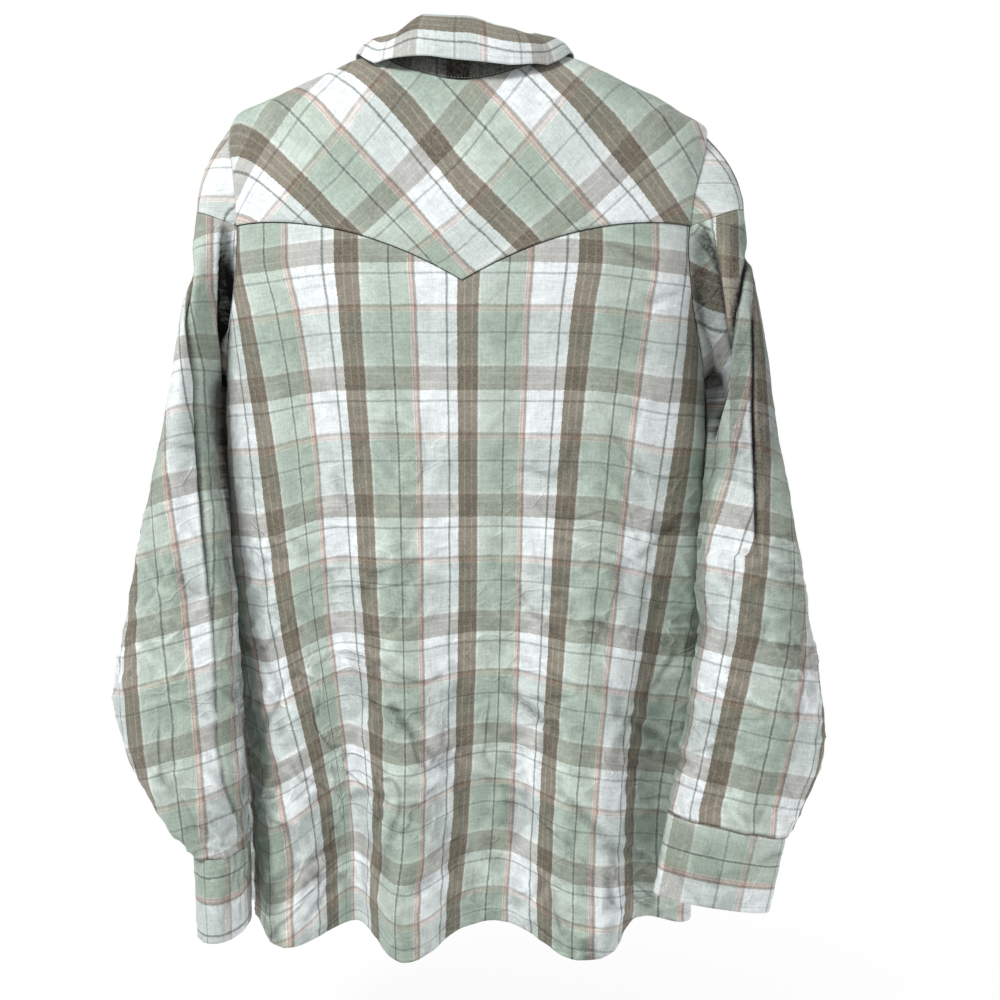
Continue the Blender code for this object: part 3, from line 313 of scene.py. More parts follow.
def armhole_angle(side, station):
    """Degrees round the armhole: 180 underarm, 90 the back, 0 the shoulder."""
    top, bottom = ARMHOLES[side][:2]
    middle, tall = (top + bottom) / 2 * MM, (top - bottom) / 2 * MM
    yoke = math.degrees(math.acos((YOKE_SIDE_Z - middle) / tall))
    front_yoke = -math.degrees(math.acos((FRONT_YOKE_Z - middle) / tall))
    marks = [0, YOKE_STATION, SHOULDER_STATION, FRONT_YOKE_STATION, LAST_STATION]
    return np.interp(station, marks, [180, yoke, SHOULDER_SEAM_ARM, front_yoke, -180])


def armhole_point(side, degrees):
    top, bottom, back_depth, front_depth = ARMHOLES[side]
    turn = np.radians(degrees)
    z = ((top + bottom) + (top - bottom) * np.cos(turn)) / 2 * MM
    y = -np.where(degrees > 0, back_depth, front_depth) * MM * np.sin(turn)
    part = np.minimum(1.0, abs(y) / depth_at(z, y))
    x = half_width(side, z) * (1 - part ** ROUNDNESS) ** (1 / ROUNDNESS)
    return points(side * x, y, z)


def arm_station(side, station):
    return armhole_point(side, armhole_angle(side, np.asarray(station, float)))


def as_angle(place):
    """Body coordinates (angle, z) of points."""
    angle = angle_of(place[..., 0], place[..., 2], back=place[..., 1] <= 0)
    return np.stack([angle, place[..., 2]], axis=-1)


girth = run_length(arm_station(1, np.linspace(0, LAST_STATION, 200)))[-1]
print("armhole girth, mm:", round(float(girth) / MM))

# %% [markdown]
# The back yoke ends in a shallow point, the sign of a western shirt. The two fronts
# have yokes too, each with a point over the chest.

# %% The yoke seams and the front edges
BAND_WIDTH, SPREAD_START_Z, SPREAD_AT_NECK = 38 * MM, -140 * MM, 41 * MM
NECK_END = neck_angle_at(SPREAD_AT_NECK - BAND_WIDTH / 2)
NECK_BAND = neck_angle_at(SPREAD_AT_NECK + BAND_WIDTH / 2)
NECK_TOP_Z = float(neck_point(NECK_END)[2])
YOKE_END = {side: abs(float(arm_station(side, YOKE_STATION)[0])) for side in (-1, 1)}
FRONT_YOKE_END = {side: abs(float(arm_station(side, FRONT_YOKE_STATION)[0])) for side in (-1, 1)}
NECK_HALF, SHOULDER = 8, 11         # yoke seam columns: half the neck, one shoulder


def spread(z):
    """How far each front edge has moved off the middle, the top snap being open."""
    part = (z - SPREAD_START_Z) / (NECK_TOP_Z - SPREAD_START_Z)
    return SPREAD_AT_NECK * np.clip(part, 0, 1) ** 1.3


def yoke_seam(column):
    """The back yoke seam as (x, z); the column runs from -19, left, to 19, right."""
    column = np.asarray(column, float)
    end = np.where(column > 0, YOKE_END[1], YOKE_END[-1])
    size = abs(column)
    x = np.where(
        size < NECK_HALF,
        YOKE_CORNER_X * size / NECK_HALF,
        mix(YOKE_CORNER_X, end, (size - NECK_HALF) / SHOULDER),
    )
    z = YOKE_SIDE_Z - YOKE_POINT_DROP * np.maximum(0, 1 - x / end) ** YOKE_CURVE
    return np.sign(column) * x, z


def front_yoke_seam(side, column):
    """A front yoke seam as (x, z), from the armhole, 0, past its point, 6, to the band, 11."""
    end, point = FRONT_YOKE_END[side], FRONT_YOKE_POINT_X
    band = BAND_WIDTH / 2 + float(spread(FRONT_YOKE_Z))
    x = np.interp(column, [0, 6, 11], [end, point, band])
    reach = (x - point) / (np.where(x > point, end, band) - point)
    return side * x, FRONT_YOKE_Z - FRONT_YOKE_DROP * (1 - reach) ** FRONT_YOKE_CURVE


print("yoke point hangs at, mm:", round(float(yoke_seam(0)[1]) / MM))

# %% [markdown]
# ## The cloth's own lie
#
# A worn and washed shirt is never smooth. Small crumples run through all of it, and
# here and there a longer crease starts at a seam. A cloth simulation could find such
# creases, but not these ones, so they are drawn as strokes on the surface and added
# to soft noise. Both follow the place in space, so they run on across every seam.

# %% Crumples and creases
# across and height of both ends, half width, depth, in millimetres
CREASES = [
    (-71, -579, -20, -639, 4, -2.2), (-64, -574, -14, -632, 4, 1.4),
    (35, -568, 95, -614, 4, -2.0), (42, -561, 102, -606, 4, 1.3),
    (141, -590, 210, -637, 4, -2.4), (146, -583, 214, -628, 4, 1.5),
    (8, -653, 61, -674, 4, -1.6), (87, -659, 139, -710, 4, -2.2),
    (93, -652, 146, -705, 4, 1.5), (124, -707, 190, -745, 4.5, -2.2),
    (-117, -677, -55, -662, 4, -1.6), (-179, -749, -120, -718, 4, -2.4),
    (-175, -757, -114, -727, 4, 1.6), (-151, -791, -110, -745, 4.5, -2.2),
    (-43, -749, 11, -725, 4, -1.8), (172, -583, 210, -531, 4, -1.6),
    (54, -487, 96, -526, 4, -1.2), (135, -153, 187, -176, 4, -1.8),
    (172, -211, 212, -194, 4, -1.4), (-121, -367, -101, -413, 4, -1.2),
    (-199, -524, -168, -579, 5, -2.0), (164, -450, 210, -413, 4, -1.6),
]


def noise_at(place, size, stretch=(1, 1, 1), seed=0):
    """Soft noise from -1 to 1 at points, with lumps of about the given size in metres."""
    flat = place.reshape(-1, 3) / (size * np.asarray(stretch)) + seed * 17.3
    values = [noise.noise(Vector(p)) for p in flat]
    return np.array(values).reshape(place.shape[:-1])


def wrinkles(place, size, lean, seed):
    """Short sharp ridges, 0 to 1, that lean from the upright by some degrees."""
    turn = math.radians(lean)
    x, y, z = place[..., 0], place[..., 1], place[..., 2]
    across, up = x * math.cos(turn) - z * math.sin(turn), x * math.sin(turn) + z * math.cos(turn)
    turned = points(across, y, up)
    ridge = np.clip(1 - 3.2 * abs(noise_at(turned, size, (1, 1, 2.6), seed)), 0, 1) ** 2
    return ridge * ease(0.5 + 1.6 * noise_at(place, 2.2 * size, (1, 1, 1), seed + 20))


def crumple(place):
    """How far the cloth stands out of its smooth shape at points, in metres."""
    low = ease((-place[..., 2] - 0.2) / 0.4)
    out = 2.0 * MM * noise_at(place, 0.06, (1, 1, 1.8), 1) * (0.4 + low)
    out += 1.2 * MM * noise_at(place, 0.026, (1, 1, 1.3), 2) * (0.3 + low)
    out += 0.35 * MM * noise_at(place, 0.012, (1, 1, 1), 3) * (0.4 + low)
    for size, lean, deep, seed in (
        (0.03, 12, 1.1, 4), (0.026, -48, 1.1, 5), (0.024, 62, 1.1, 6), (0.02, 92, 1.0, 7),
    ):
        out += deep * MM * wrinkles(place, size, lean, seed) * (0.35 + 1.1 * low)
    behind = ease((0.01 - place[..., 1]) / 0.03)
    for x0, z0, x1, z1, wide, deep in CREASES:
        start, end = np.array([x0, z0]) * MM, np.array([x1, z1]) * MM
        along = end - start
        here = place[..., [0, 2]] - start
        near = np.clip((here @ along) / (along @ along), 0, 1)
        gap = np.linalg.norm(here - near[..., None] * along, axis=-1)
        fade = np.sqrt(4 * near * (1 - near))
        out += deep * MM * behind * fade * np.exp(-(gap / (wide * MM)) ** 2)
    return out


# %% From a grid of points to a piece of cloth
def facing(grid, closed=False):
    """Unit normals of a grid of points, rows by columns."""
    down = np.gradient(grid, axis=0)
    if closed:
        ring = grid[:, :-1]
        along = np.roll(ring, -1, axis=1) - np.roll(ring, 1, axis=1)
        along = np.concatenate([along, along[:, :1]], axis=1)
    else:
        along = np.gradient(grid, axis=1)
    return unit(np.cross(along, down))


def turned_out(grid, closed, centre):
    """Whether the grid's columns must be turned round for its normals to face away."""
    ways = facing(grid, closed)
    if centre is None:
        grid, ways = grid[-1], ways[-1]
        centre = grid.mean(axis=0)
    return ((grid - centre) * ways).sum() < 0


def flat_size(grid):
    """Width and length of a grid of points along its threads, and its area, in metres."""
    across, down = np.diff(grid, axis=1), np.diff(grid, axis=0)
    width = np.linalg.norm(across, axis=2).sum(axis=1).max()
    length = np.linalg.norm(down, axis=2).sum(axis=0).max()
    area = np.linalg.norm(np.cross(across[:-1], down[:, :-1]), axis=2).sum()
    return float(width), float(length), float(min(area, width * length))


def corners(table):
    """The four corners of each cell of a table, in turn round the cell."""
    return np.stack([table[:-1, :-1], table[:-1, 1:], table[1:, 1:], table[1:, :-1]], axis=2)


def evened(values):
    """A table averaged with its neighbours, twice along its rows and its columns."""
    for axis in (0, 1):
        for _ in range(2):
            wide = np.pad(values, [(2, 2) if k == axis else (0, 0) for k in (0, 1)], mode="edge")
            values = sum(np.take(wide, range(k, k + values.shape[axis]), axis) for k in range(5)) / 5
    return values


def add_mesh(name, verts, faces, *paints):
    """A smooth object from its points and faces, in the scene, with its materials."""
    mesh = bpy.data.meshes.new(name)
    mesh.from_pydata(np.asarray(verts).tolist(), [], faces)
    for paint in paints:
        mesh.materials.append(paint)
    mesh.shade_smooth()
    made = bpy.data.objects.new(name, mesh)
    bpy.context.scene.collection.objects.link(made)
    return made


# an edge sunk into a seam is darkened with painted shade
SEAM_SINK, SEAM_SHADE = 0.8 * MM, 0.34      # how far an edge dips into a seam, and darkens
surfaces, declared = {}, {}         # each piece's finished grid, and its flat size


def add_piece(name, grid, cloth, finish, node, closed=False, centre=None, thick=0.8 * MM,
              lift=0.0, crumpled=1.0, sunk="", shade=0.0):
    """A sheet of cloth from a grid of points, with its flat cut as the UV map.

    A closed grid has its first column again as its last. The lift stands it off. The
    edges in sunk, t, b, l or r, dip into a seam.
    """
    lift = np.array(np.broadcast_to(lift, grid.shape[:2]))
    shade = np.array(np.broadcast_to(shade, grid.shape[:2]))
    declared[name] = flat_size(grid)
    # sunk edges dip into the seam and take painted shade
    for edge in sunk:
        line = {"t": np.s_[0], "b": np.s_[-1], "l": np.s_[:, 0], "r": np.s_[:, -1]}[edge]
        lift[line] -= SEAM_SINK
        shade[line] -= SEAM_SHADE
    flipped = turned_out(grid, closed, centre)
    if flipped:
        grid, cloth, lift, shade = (part[:, ::-1] for part in (grid, cloth, lift, shade))
    out = lift + crumpled * crumple(grid)
    grid = grid + facing(grid, closed) * out[..., None]
    ways = facing(grid, closed)
    surfaces[name] = (grid[:, ::-1], ways[:, ::-1]) if flipped else (grid, ways)
    verts = grid[:, :-1] if closed else grid
    rows, cols = verts.shape[:2]
    index = np.arange(rows * cols).reshape(rows, cols)
    if closed:
        index = np.concatenate([index, index[:, :1]], axis=1)
    piece = add_mesh(name, verts.reshape(-1, 3), corners(index).reshape(-1, 4).tolist(), finish)
    layer = piece.data.uv_layers.new(name="flat_cut")
    layer.data.foreach_set("uv", corners(cloth).astype(np.float32).ravel())
    # painted light and shade: ridges paler than the cloth round them, hollows and sunk places darker
    relief_shade = np.clip((out - evened(out)) / MM * 0.26, -0.34, 0.16)
    # the shade passed in is painted shadow too
    relief_shade += np.clip(lift / MM * 0.03, -0.2, 0) + shade
    marks = piece.data.attributes.new("relief_shade", "FLOAT", "POINT")
    marks.data.foreach_set("value", (relief_shade[:, :-1] if closed else relief_shade).astype(np.float32).ravel())
    wall = piece.modifiers.new("cloth thickness", "SOLIDIFY")
    wall.thickness, wall.offset = thick, -1
    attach(piece, "root")
    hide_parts(node)
    print(name, "faces:", len(piece.data.polygons), "flat, m:", [round(size, 3) for size in declared[name]])


def near_edges(values, fine=1.1 * MM, whole=0.5, first=True, last=True):
    """Adds a line close to the first and last of evenly spread 0 to 1 values."""
    step = fine / whole
    extra = ([step] if first else []) + ([1 - step] if last else [])
    return np.sort(np.concatenate([values, extra]))


def fill_between(top, bottom, left, right, u, v, hold=1):
    """Surface coordinates inside four borders; u and v say how far along each stands."""
    u, v = u[None, :, None], v[:, None, None]
    across = mix(top[None], bottom[None], v)
    start, end = mix(top[0], bottom[0], v[:, 0]), mix(top[-1], bottom[-1], v[:, 0])
    return (
        across + (1 - u) ** hold * (left - start)[:, None] + u ** hold * (right - end)[:, None]
    )


# %% [markdown]
# ## Plaid
#
# The plaid is woven, not printed: one run of coloured yarns goes up the cloth, the
# warp, and the same run goes across it, the weft. Where they cross, the eye sees a
# blend of the two. So the material reads one colour ramp by the cut's width and the
# same ramp by its length, and blends them as a weave does. A picture of the plaid
# would be easier, but would blur when seen close.

# %% The run of yarns
REPEAT = 117 * MM
# each yarn's colour in the warp, then in the weft, which is dyed a little greyer
BROWN, PALE_BROWN = ((108, 99, 85), (120, 116, 107)), ((134, 127, 114), (142, 140, 132))
SAGE, LEAF = ((161, 175, 160), (156, 172, 164)), ((176, 190, 178), (176, 190, 183))
PALE, WHITE = ((205, 211, 203), (212, 219, 214)), ((228, 232, 233), (238, 245, 247))
DIM_WHITE, IVORY = ((221, 226, 227), (231, 238, 240)), ((226, 220, 204), (230, 224, 208))
SLATE, GREY_LINE = ((98, 106, 98), (98, 110, 104)), ((122, 128, 126), (126, 134, 134))
ROSE, RED = ((196, 180, 170), (194, 178, 168)), ((164, 120, 112), (162, 124, 114))
TAUPE = ((146, 140, 132), (132, 126, 120))
# millimetres along the repeat, and the yarn's colour there
YARNS = [
    (0.0, BROWN), (5.8, BROWN), (6.95, PALE_BROWN), (8.1, BROWN),
    (13.9, BROWN), (15.05, PALE_BROWN), (16.2, BROWN), (21.4, BROWN),
    (22.6, PALE), (25.5, LEAF), (44.0, SAGE), (49.6, SAGE), (51.0, LEAF),
    (51.8, SLATE), (53.2, SLATE), (54.2, LEAF), (55.4, SAGE), (71.0, SAGE),
    (71.9, IVORY), (72.6, RED), (73.4, ROSE), (75.2, ROSE), (75.9, RED), (76.6, TAUPE),
    (78.0, TAUPE), (78.9, WHITE), (93.0, DIM_WHITE), (105.6, WHITE),
    (106.4, GREY_LINE), (107.7, GREY_LINE), (108.6, WHITE), (116.5, WHITE),
]
WARP_SHARE = 0.66           # the warp shows more than the weft does
WEAVE_STEP = 0.9 * MM       # two yarns of the weave


def linear(colour):
    return tuple((part / 255) ** 2.2 for part in colour) + (1.0,)


class Nodes:
    """Adds shader nodes to a material and joins them up in one line each."""

    def __init__(self, material):
        material.use_nodes = True
        self.tree = material.node_tree
        self.shader = self.tree.nodes["Principled BSDF"]

    def add(self, kind, links=None, **settings):
        made = self.tree.nodes.new("ShaderNode" + kind)
        for name, value in settings.items():
            setattr(made, name, value)
        self.join(made, links or {})
        return made.outputs[0]

    def join(self, made, links):
        """Links a node's inputs to sockets, or sets them to values."""
        for socket, value in links.items():
            if isinstance(value, bpy.types.NodeSocket):
                self.tree.links.new(value, made.inputs[socket])
            else:
                made.inputs[socket].default_value = value

    def math(self, operation, a, b=0.0, c=0.0):
        return self.add("Math", {0: a, 1: b, 2: c}, operation=operation)


def yarn_ramp(nodes, along, weft):
    """The colour of one set of yarns at a place, in metres, across them."""
    part = nodes.math("FRACT", nodes.math("DIVIDE", along, REPEAT))
    ramp = nodes.add("ValToRGB", {0: part}).node.color_ramp
    for place, colour in YARNS[1:-1]:
        ramp.elements.new(place * MM / REPEAT)
    for element, (place, colour) in zip(ramp.elements, YARNS):
        element.position = place * MM / REPEAT
        element.color = linear(colour[weft])
    return nodes.tree.nodes[-1].outputs[0]


def plaid(name):
    """The plaid cotton: blended yarns, a fine weave, a few thicker yarns, and painted light and shade."""
    material = bpy.data.materials.new(name)
    nodes = Nodes(material)
    cut = nodes.add("UVMap", uv_map="flat_cut")
    wander = nodes.add("TexNoise", {"Vector": cut, "Scale": 35.0, "Detail": 1.0})
    moved = nodes.add("VectorMath", {0: wander, 1: (0.5, 0.5, 0.5)}, operation="SUBTRACT")
    moved = nodes.add("VectorMath", {0: moved, 1: (0.0014,) * 3, 2: cut}, operation="MULTIPLY_ADD")
    ragged = nodes.add("TexNoise", {"Vector": cut, "Scale": 420.0, "Detail": 2.0})
    ragged = nodes.add("VectorMath", {0: ragged, 1: (0.5, 0.5, 0.5)}, operation="SUBTRACT")
    moved = nodes.add("VectorMath", {0: ragged, 1: (0.0022,) * 3, 2: moved}, operation="MULTIPLY_ADD")
    split = nodes.add("SeparateXYZ", {0: moved}).node
    warp_at, weft_at = split.outputs[0], split.outputs[1]
    warp = nodes.add("Gamma", {0: yarn_ramp(nodes, warp_at, 0), 1: WARP_SHARE})
    weft = nodes.add("Gamma", {0: yarn_ramp(nodes, weft_at, 1), 1: 1 - WARP_SHARE})
    blend = nodes.add("Mix", {0: 1.0, 6: warp, 7: weft}, data_type="RGBA", blend_type="MULTIPLY")
    blend = blend.node.outputs[2]
    # yarns differ a little in thickness, so faint streaks run both ways
    streaks = []
    for scale in ((620.0, 45.0, 1.0), (45.0, 620.0, 1.0)):
        place = nodes.add("VectorMath", {0: cut, 1: scale}, operation="MULTIPLY")
        streaks.append(nodes.add("TexNoise", {"Vector": place, "Scale": 1.0, "Detail": 3.0}))
    streak = nodes.math("ADD", streaks[0], streaks[1])
    # washing leaves the cloth mottled; painted light and shade pale its crease ridges, darken its hollows
    mottle = nodes.add("TexNoise", {"Vector": cut, "Scale": 230.0, "Detail": 5.0, "Roughness": 0.7})
    cloud = nodes.add("TexNoise", {"Vector": cut, "Scale": 38.0, "Detail": 2.0})
    # this attribute holds painted light and shade
    painted_shade = nodes.add("Attribute", attribute_name="relief_shade").node.outputs["Fac"]
    shade = nodes.math("MULTIPLY_ADD", streak, 0.36, 0.28)
    shade = nodes.math("MULTIPLY_ADD", mottle, 0.55, shade)
    shade = nodes.math("MULTIPLY_ADD", cloud, 0.18, shade)
    shade = nodes.math("ADD", painted_shade, shade)
    # fine sharp creases, bumped, with painted shade in their valleys and painted light on their ridges,
    # more of them lower down, where the shirt was tucked in and sat on
    height = nodes.add("SeparateXYZ", {0: nodes.add("TexCoord").node.outputs["Object"]}).node.outputs[2]
    low = nodes.add("MapRange", {"Value": height, "From Min": -0.2, "From Max": -0.6,
                                 "To Min": 0.3, "To Max": 1.2})
    creases = 0.0
    for scale, stretch, deep in ((19.0, (0.4, 1.0, 1.0), -1.0), (26.0, (0.55, 1.0, 1.0), 0.7),
                                 (16.0, (0.9, 0.7, 1.0), -0.9), (34.0, (0.6, 1.0, 1.0), 0.7)):
        place = nodes.add("VectorMath", {0: cut, 1: stretch}, operation="MULTIPLY")
        place = nodes.add("VectorMath", {0: place, 1: (scale, 3.0 * deep, 0.0)}, operation="ADD")
        wave = nodes.add("TexNoise", {"Vector": place, "Scale": scale, "Detail": 1.5, "Distortion": 0.2})
        near = nodes.math("ABSOLUTE", nodes.math("SUBTRACT", wave, 0.5))
        line = nodes.add("MapRange", {"Value": near, "From Min": 0.0, "From Max": 0.03,
                                      "To Min": 1.0, "To Max": 0.0})
        patch = nodes.add("TexNoise", {"Vector": place, "Scale": scale * 0.6, "Detail": 1.0})
        patch = nodes.add("MapRange", {"Value": patch, "From Min": 0.46, "From Max": 0.62})
        line = nodes.math("MULTIPLY", line, patch)
        creases = nodes.math("MULTIPLY_ADD", line, deep, creases)
    creases = nodes.math("MULTIPLY", creases, low)
    shade = nodes.math("MULTIPLY_ADD", creases, 0.3, shade)
    tone = nodes.add("VectorMath", {0: blend, "Scale": shade}, operation="SCALE")
    # pale fibres and gaps between the yarns speckle it, most of all where it is dark
    speckle = -1.0
    for scale in ((950.0, 320.0, 1.0), (320.0, 950.0, 1.0)):
        place = nodes.add("VectorMath", {0: cut, 1: scale}, operation="MULTIPLY")
        fibres = nodes.add("TexNoise", {"Vector": place, "Scale": 1.0, "Detail": 1.5})
        speckle = nodes.math("ADD", fibres, speckle)
    speckle = nodes.math("MULTIPLY", speckle, 0.17)
    speckle = nodes.add("CombineXYZ", {0: speckle, 1: speckle, 2: speckle})
    tone = nodes.add("VectorMath", {0: tone, 1: speckle}, operation="ADD")
    # the weave itself: warp and weft pass over each other every half millimetre
    over_warp = nodes.math("SINE", nodes.math("MULTIPLY", warp_at, math.tau / WEAVE_STEP))
    over_weft = nodes.math("SINE", nodes.math("MULTIPLY", weft_at, math.tau / WEAVE_STEP))
    weave = nodes.math("MULTIPLY_ADD", nodes.math("MULTIPLY", over_warp, over_weft), 0.35, streak)
    folds = nodes.add("Bump", {"Height": creases, "Strength": 1.0, "Distance": 0.0012})
    relief_shade = nodes.add("Bump", {"Height": weave, "Strength": 0.25, "Distance": 0.0002, "Normal": folds})
    nodes.join(nodes.shader, {
        "Base Color": tone, "Normal": relief_shade, "Roughness": 0.88, "Specular IOR Level": 0.25,
        "Sheen Weight": 0.12, "Sheen Roughness": 0.6,
    })
    return material


plaid_cotton = plaid("plaid_cotton")
bias_plaid_cotton = plaid("bias_plaid_cotton")
print("yarn colour stops:", len(YARNS), "repeat, mm:", round(REPEAT / MM))

# %% [markdown]
# ## How the cut lies on the body
#
# Every piece was cut flat, with the plaid straight along it. To draw the plaid true,
# each point of the filled-out shirt needs to know where on the flat cut it came
# from. Going round a level, cloth keeps its length, so the distance round the folded
# surface gives the place across the cut. Up and down, the weft follows the hem.

# %% The body's cut
ARC_HEIGHTS = np.linspace(-0.86, 0.0, 173)
ARC_ANGLES = np.linspace(-math.pi, math.pi, 1441)
ARCS = run_length(around(ARC_ANGLES[:, None], ARC_HEIGHTS)).T
ARCS -= ARCS[:, [len(ARC_ANGLES) // 2]]
FRONT_CUT = 281 * MM        # the middle of the front across the cut
SAG_FROM, SAG_OVER = 27, 22         # degrees round the back where the weft starts to sag

# STRIPES, WEFT_STRIPES and SAG are rounded results of a separate curve fit.
# Ten warp stripes, brown and rose in turn: their places across the flat cut, and how
# far round the back they hang at each height, left to right, in millimetres
STRIPE_CUTS = np.array([-274, -223, -157, -106, -40, 11, 77, 128, 194, 245]) * MM
STRIPE_HEIGHTS = np.array([-780, -720, -660, -600, -540, -460, -380, -300, -220, -160]) * MM
STRIPES = np.array([
    (-207, -163, -146, -115, -55, -12, 44, 89, 137, 193),
    (-201, -160, -140, -102, -48, -5, 48, 88, 136, 186),
    (-200, -159, -135, -94, -43, 0, 50, 88, 136, 183),
    (-204, -160, -131, -89, -40, 3, 52, 89, 138, 184),
    (-211, -163, -129, -87, -38, 5, 53, 90, 141, 189),
    (-222, -170, -129, -88, -37, 6, 55, 92, 148, 198),
    (-234, -181, -133, -92, -37, 6, 56, 97, 156, 210),
    (-244, -196, -141, -98, -40, 6, 59, 104, 166, 224),
    (-262, -215, -154, -104, -43, 6, 62, 113, 178, 238),
    (-283, -232, -167, -107, -46, 8, 66, 121, 187, 247),
]) * MM
# levels of the middles of the brown weft stripes, low to high, and how far the
# weft sags from there towards the sides
WEFT_STRIPES = np.array([-828, -724, -620, -511, -401, -282, -163, -44]) * MM
SAG_HEIGHTS, SAG = np.array([-720, -510, -400, -280, -160]) * MM, np.array([31, 22, 17, 8, 5]) * MM


def table_at(table, rows, cols, row, col):
    """Reads a table between its rows and columns."""
    r = np.clip((row - rows[0]) / (rows[1] - rows[0]), 0, len(rows) - 1.001)
    c = np.clip((col - cols[0]) / (cols[1] - cols[0]), 0, len(cols) - 1.001)
    i, j = r.astype(int), c.astype(int)
    r, c = r - i, c - j
    return mix(mix(table[i, j], table[i, j + 1], c), mix(table[i + 1, j], table[i + 1, j + 1], c), r)


def body_cut(angle, z):
    """Where points of the body came from on the flat cut, in metres."""
    angle, z = np.broadcast_arrays(angle, z)
    across = table_at(ARCS, ARC_HEIGHTS, ARC_ANGLES, z, angle)
    hung = np.stack([smooth_curve(STRIPE_HEIGHTS, column, z) for column in STRIPES.T])
    cut = STRIPE_CUTS[0] + (across - hung[0])
    for k in range(len(hung) - 1):
        share = np.clip((across - hung[k]) / (hung[k + 1] - hung[k]), 0, 1)
        cut = np.where(across > hung[k], mix(STRIPE_CUTS[k], STRIPE_CUTS[k + 1], share), cut)
    cut += np.maximum(0, across - hung[-1])
    # on the fronts the plaid is straight along the opening
    half, rear = (
        table_at(ARCS, ARC_HEIGHTS, ARC_ANGLES, z, np.full(z.shape, end)) for end in (math.pi, -math.pi)
    )
    from_front = np.where(angle > 0, half - across, across - rear)
    cut = np.where(abs(angle) > math.pi / 2 + 1e-6, np.sign(angle) * (FRONT_CUT - from_front), cut)
    sag = np.interp(z, SAG_HEIGHTS, SAG) * ease((abs(np.degrees(angle)) - SAG_FROM) / SAG_OVER)
    level = z + HEM_DIP * fold_depth(angle, z) + sag
    up = np.interp(level, WEFT_STRIPES, np.arange(len(WEFT_STRIPES))) * REPEAT
    return np.stack([cut, up + 11 * MM], axis=-1)


print("girth at the hem, mm:", round(float(np.ptp(ARCS[10])) / MM))

# %% [markdown]
# ## The back and the two fronts
#
# Each panel is a grid of points between four borders, like a sheet stretched over a
# wire frame (a Coons patch). The borders are the seams, so neighbours always meet.

# %% The back
ARM_FINE, SIDE_FINE, COLUMN_FINE = 7, 14, 5
HALF_COLUMNS, SIDE_ROWS, FRONT_COLUMN_COUNT = 19, 10, 11
PANEL_ROWS = BACK_ARM + SIDE_ROWS


def side_heights(side, count):
    """Heights below the underarm at the side seam, top to hem."""
    return np.linspace(ARMHOLES[side][1] * MM, float(hem_z(math.pi / 2)), count)


def seam_dip(angle, depth=1.3 * MM, wide=0.014):
    """The side seams pull the cloth in along a narrow line."""
    return -depth * np.exp(-((abs(np.sin(angle)) - 1) / wide ** 2) ** 2)


def side_line(side):
    """The side seam as (angle, z), below the underarm."""
    heights = side_heights(side, SIDE_ROWS * SIDE_FINE + 1)[1:]
    return together(side * math.pi / 2, heights)


ACROSS = near_edges(np.linspace(0, 1, 2 * HALF_COLUMNS * COLUMN_FINE + 1))
ARM_DOWN = near_edges(np.linspace(0, 1, BACK_ARM * ARM_FINE + 1), last=False, whole=0.15)
columns = mix(-HALF_COLUMNS, HALF_COLUMNS, ACROSS)
x, z = yoke_seam(columns)
top = np.stack([angle_of(x, z), z], axis=-1)
sides = {}
for side in (-1, 1):
    arm = as_angle(arm_station(side, YOKE_STATION * (1 - ARM_DOWN)))
    arm[0] = top[0 if side < 0 else -1]
    arm[-1] = side * math.pi / 2, arm[-1, 1]
    sides[side] = np.concatenate([arm, side_line(side)])
angle = mix(-math.pi / 2, math.pi / 2, ACROSS)
bottom = np.stack([angle, hem_z(angle)], axis=-1)
side_rows = np.linspace(BACK_ARM, PANEL_ROWS, SIDE_ROWS * SIDE_FINE + 1)[1:]
ROWS_DOWN = np.concatenate([BACK_ARM * ARM_DOWN, side_rows]) / PANEL_ROWS
place = fill_between(top, bottom, sides[-1], sides[1], ACROSS, ROWS_DOWN, hold=2)
BODY_MIDDLE = np.array([0, 0, -0.3])
add_piece(
    "back_panel", around(place[..., 0], place[..., 1]), body_cut(place[..., 0], place[..., 1]),
    plaid_cotton, "back", centre=BODY_MIDDLE, lift=seam_dip(place[..., 0]), sunk="tlr",
)

# %% The fronts
def band_edge(side, z):
    """The seam of a front with its band, as (angle, z)."""
    return np.stack([angle_of(side * (BAND_WIDTH / 2 + spread(z)), z, back=False), z], axis=-1)


FRONT_COLUMNS = np.linspace(0, FRONT_COLUMN_COUNT, FRONT_COLUMN_COUNT * COLUMN_FINE + 1)
FRONT_ACROSS = FRONT_COLUMNS / FRONT_COLUMN_COUNT
for side, word in SIDES:
    x, z = front_yoke_seam(side, FRONT_COLUMNS)
    top = np.stack([angle_of(x, z, back=False), z], axis=-1)
    arm = as_angle(arm_station(side, mix(FRONT_YOKE_STATION, LAST_STATION, ARM_DOWN)))
    arm[0], arm[-1] = top[0], (side * math.pi / 2, arm[-1, 1])
    outer = np.concatenate([arm, side_line(side)])
    low = float(hem_z(math.pi))
    arm_share = (ARMHOLES[side][1] * MM - FRONT_YOKE_Z) / (low - FRONT_YOKE_Z)
    share = np.interp(ROWS_DOWN, [0, FRONT_ARM / PANEL_ROWS, 1], [0, arm_share, 1])
    inner = band_edge(side, mix(FRONT_YOKE_Z, low, share))
    inner[0] = top[-1]
    angle = np.linspace(outer[-1, 0], inner[-1, 0], len(FRONT_COLUMNS))
    bottom = np.stack([angle, hem_z(angle)], axis=-1)
    inner[-1] = bottom[-1]
    place = fill_between(top, bottom, outer, inner, FRONT_ACROSS, ROWS_DOWN)
    add_piece(
        "front_panel_" + word, around(place[..., 0], place[..., 1]),
        body_cut(place[..., 0], place[..., 1]), plaid_cotton, "front_" + word,
        centre=BODY_MIDDLE, lift=seam_dip(place[..., 0]), sunk="tlr",
    )

# %% [markdown]
# ## The yokes, cut on the bias
#
# The back yoke and the two front yokes are cut at a slant to the weave, so their
# plaid runs in diamonds. On their flat cut the warp leans, and because bias cloth
# gives, the slant changes a little from one shoulder to the other.

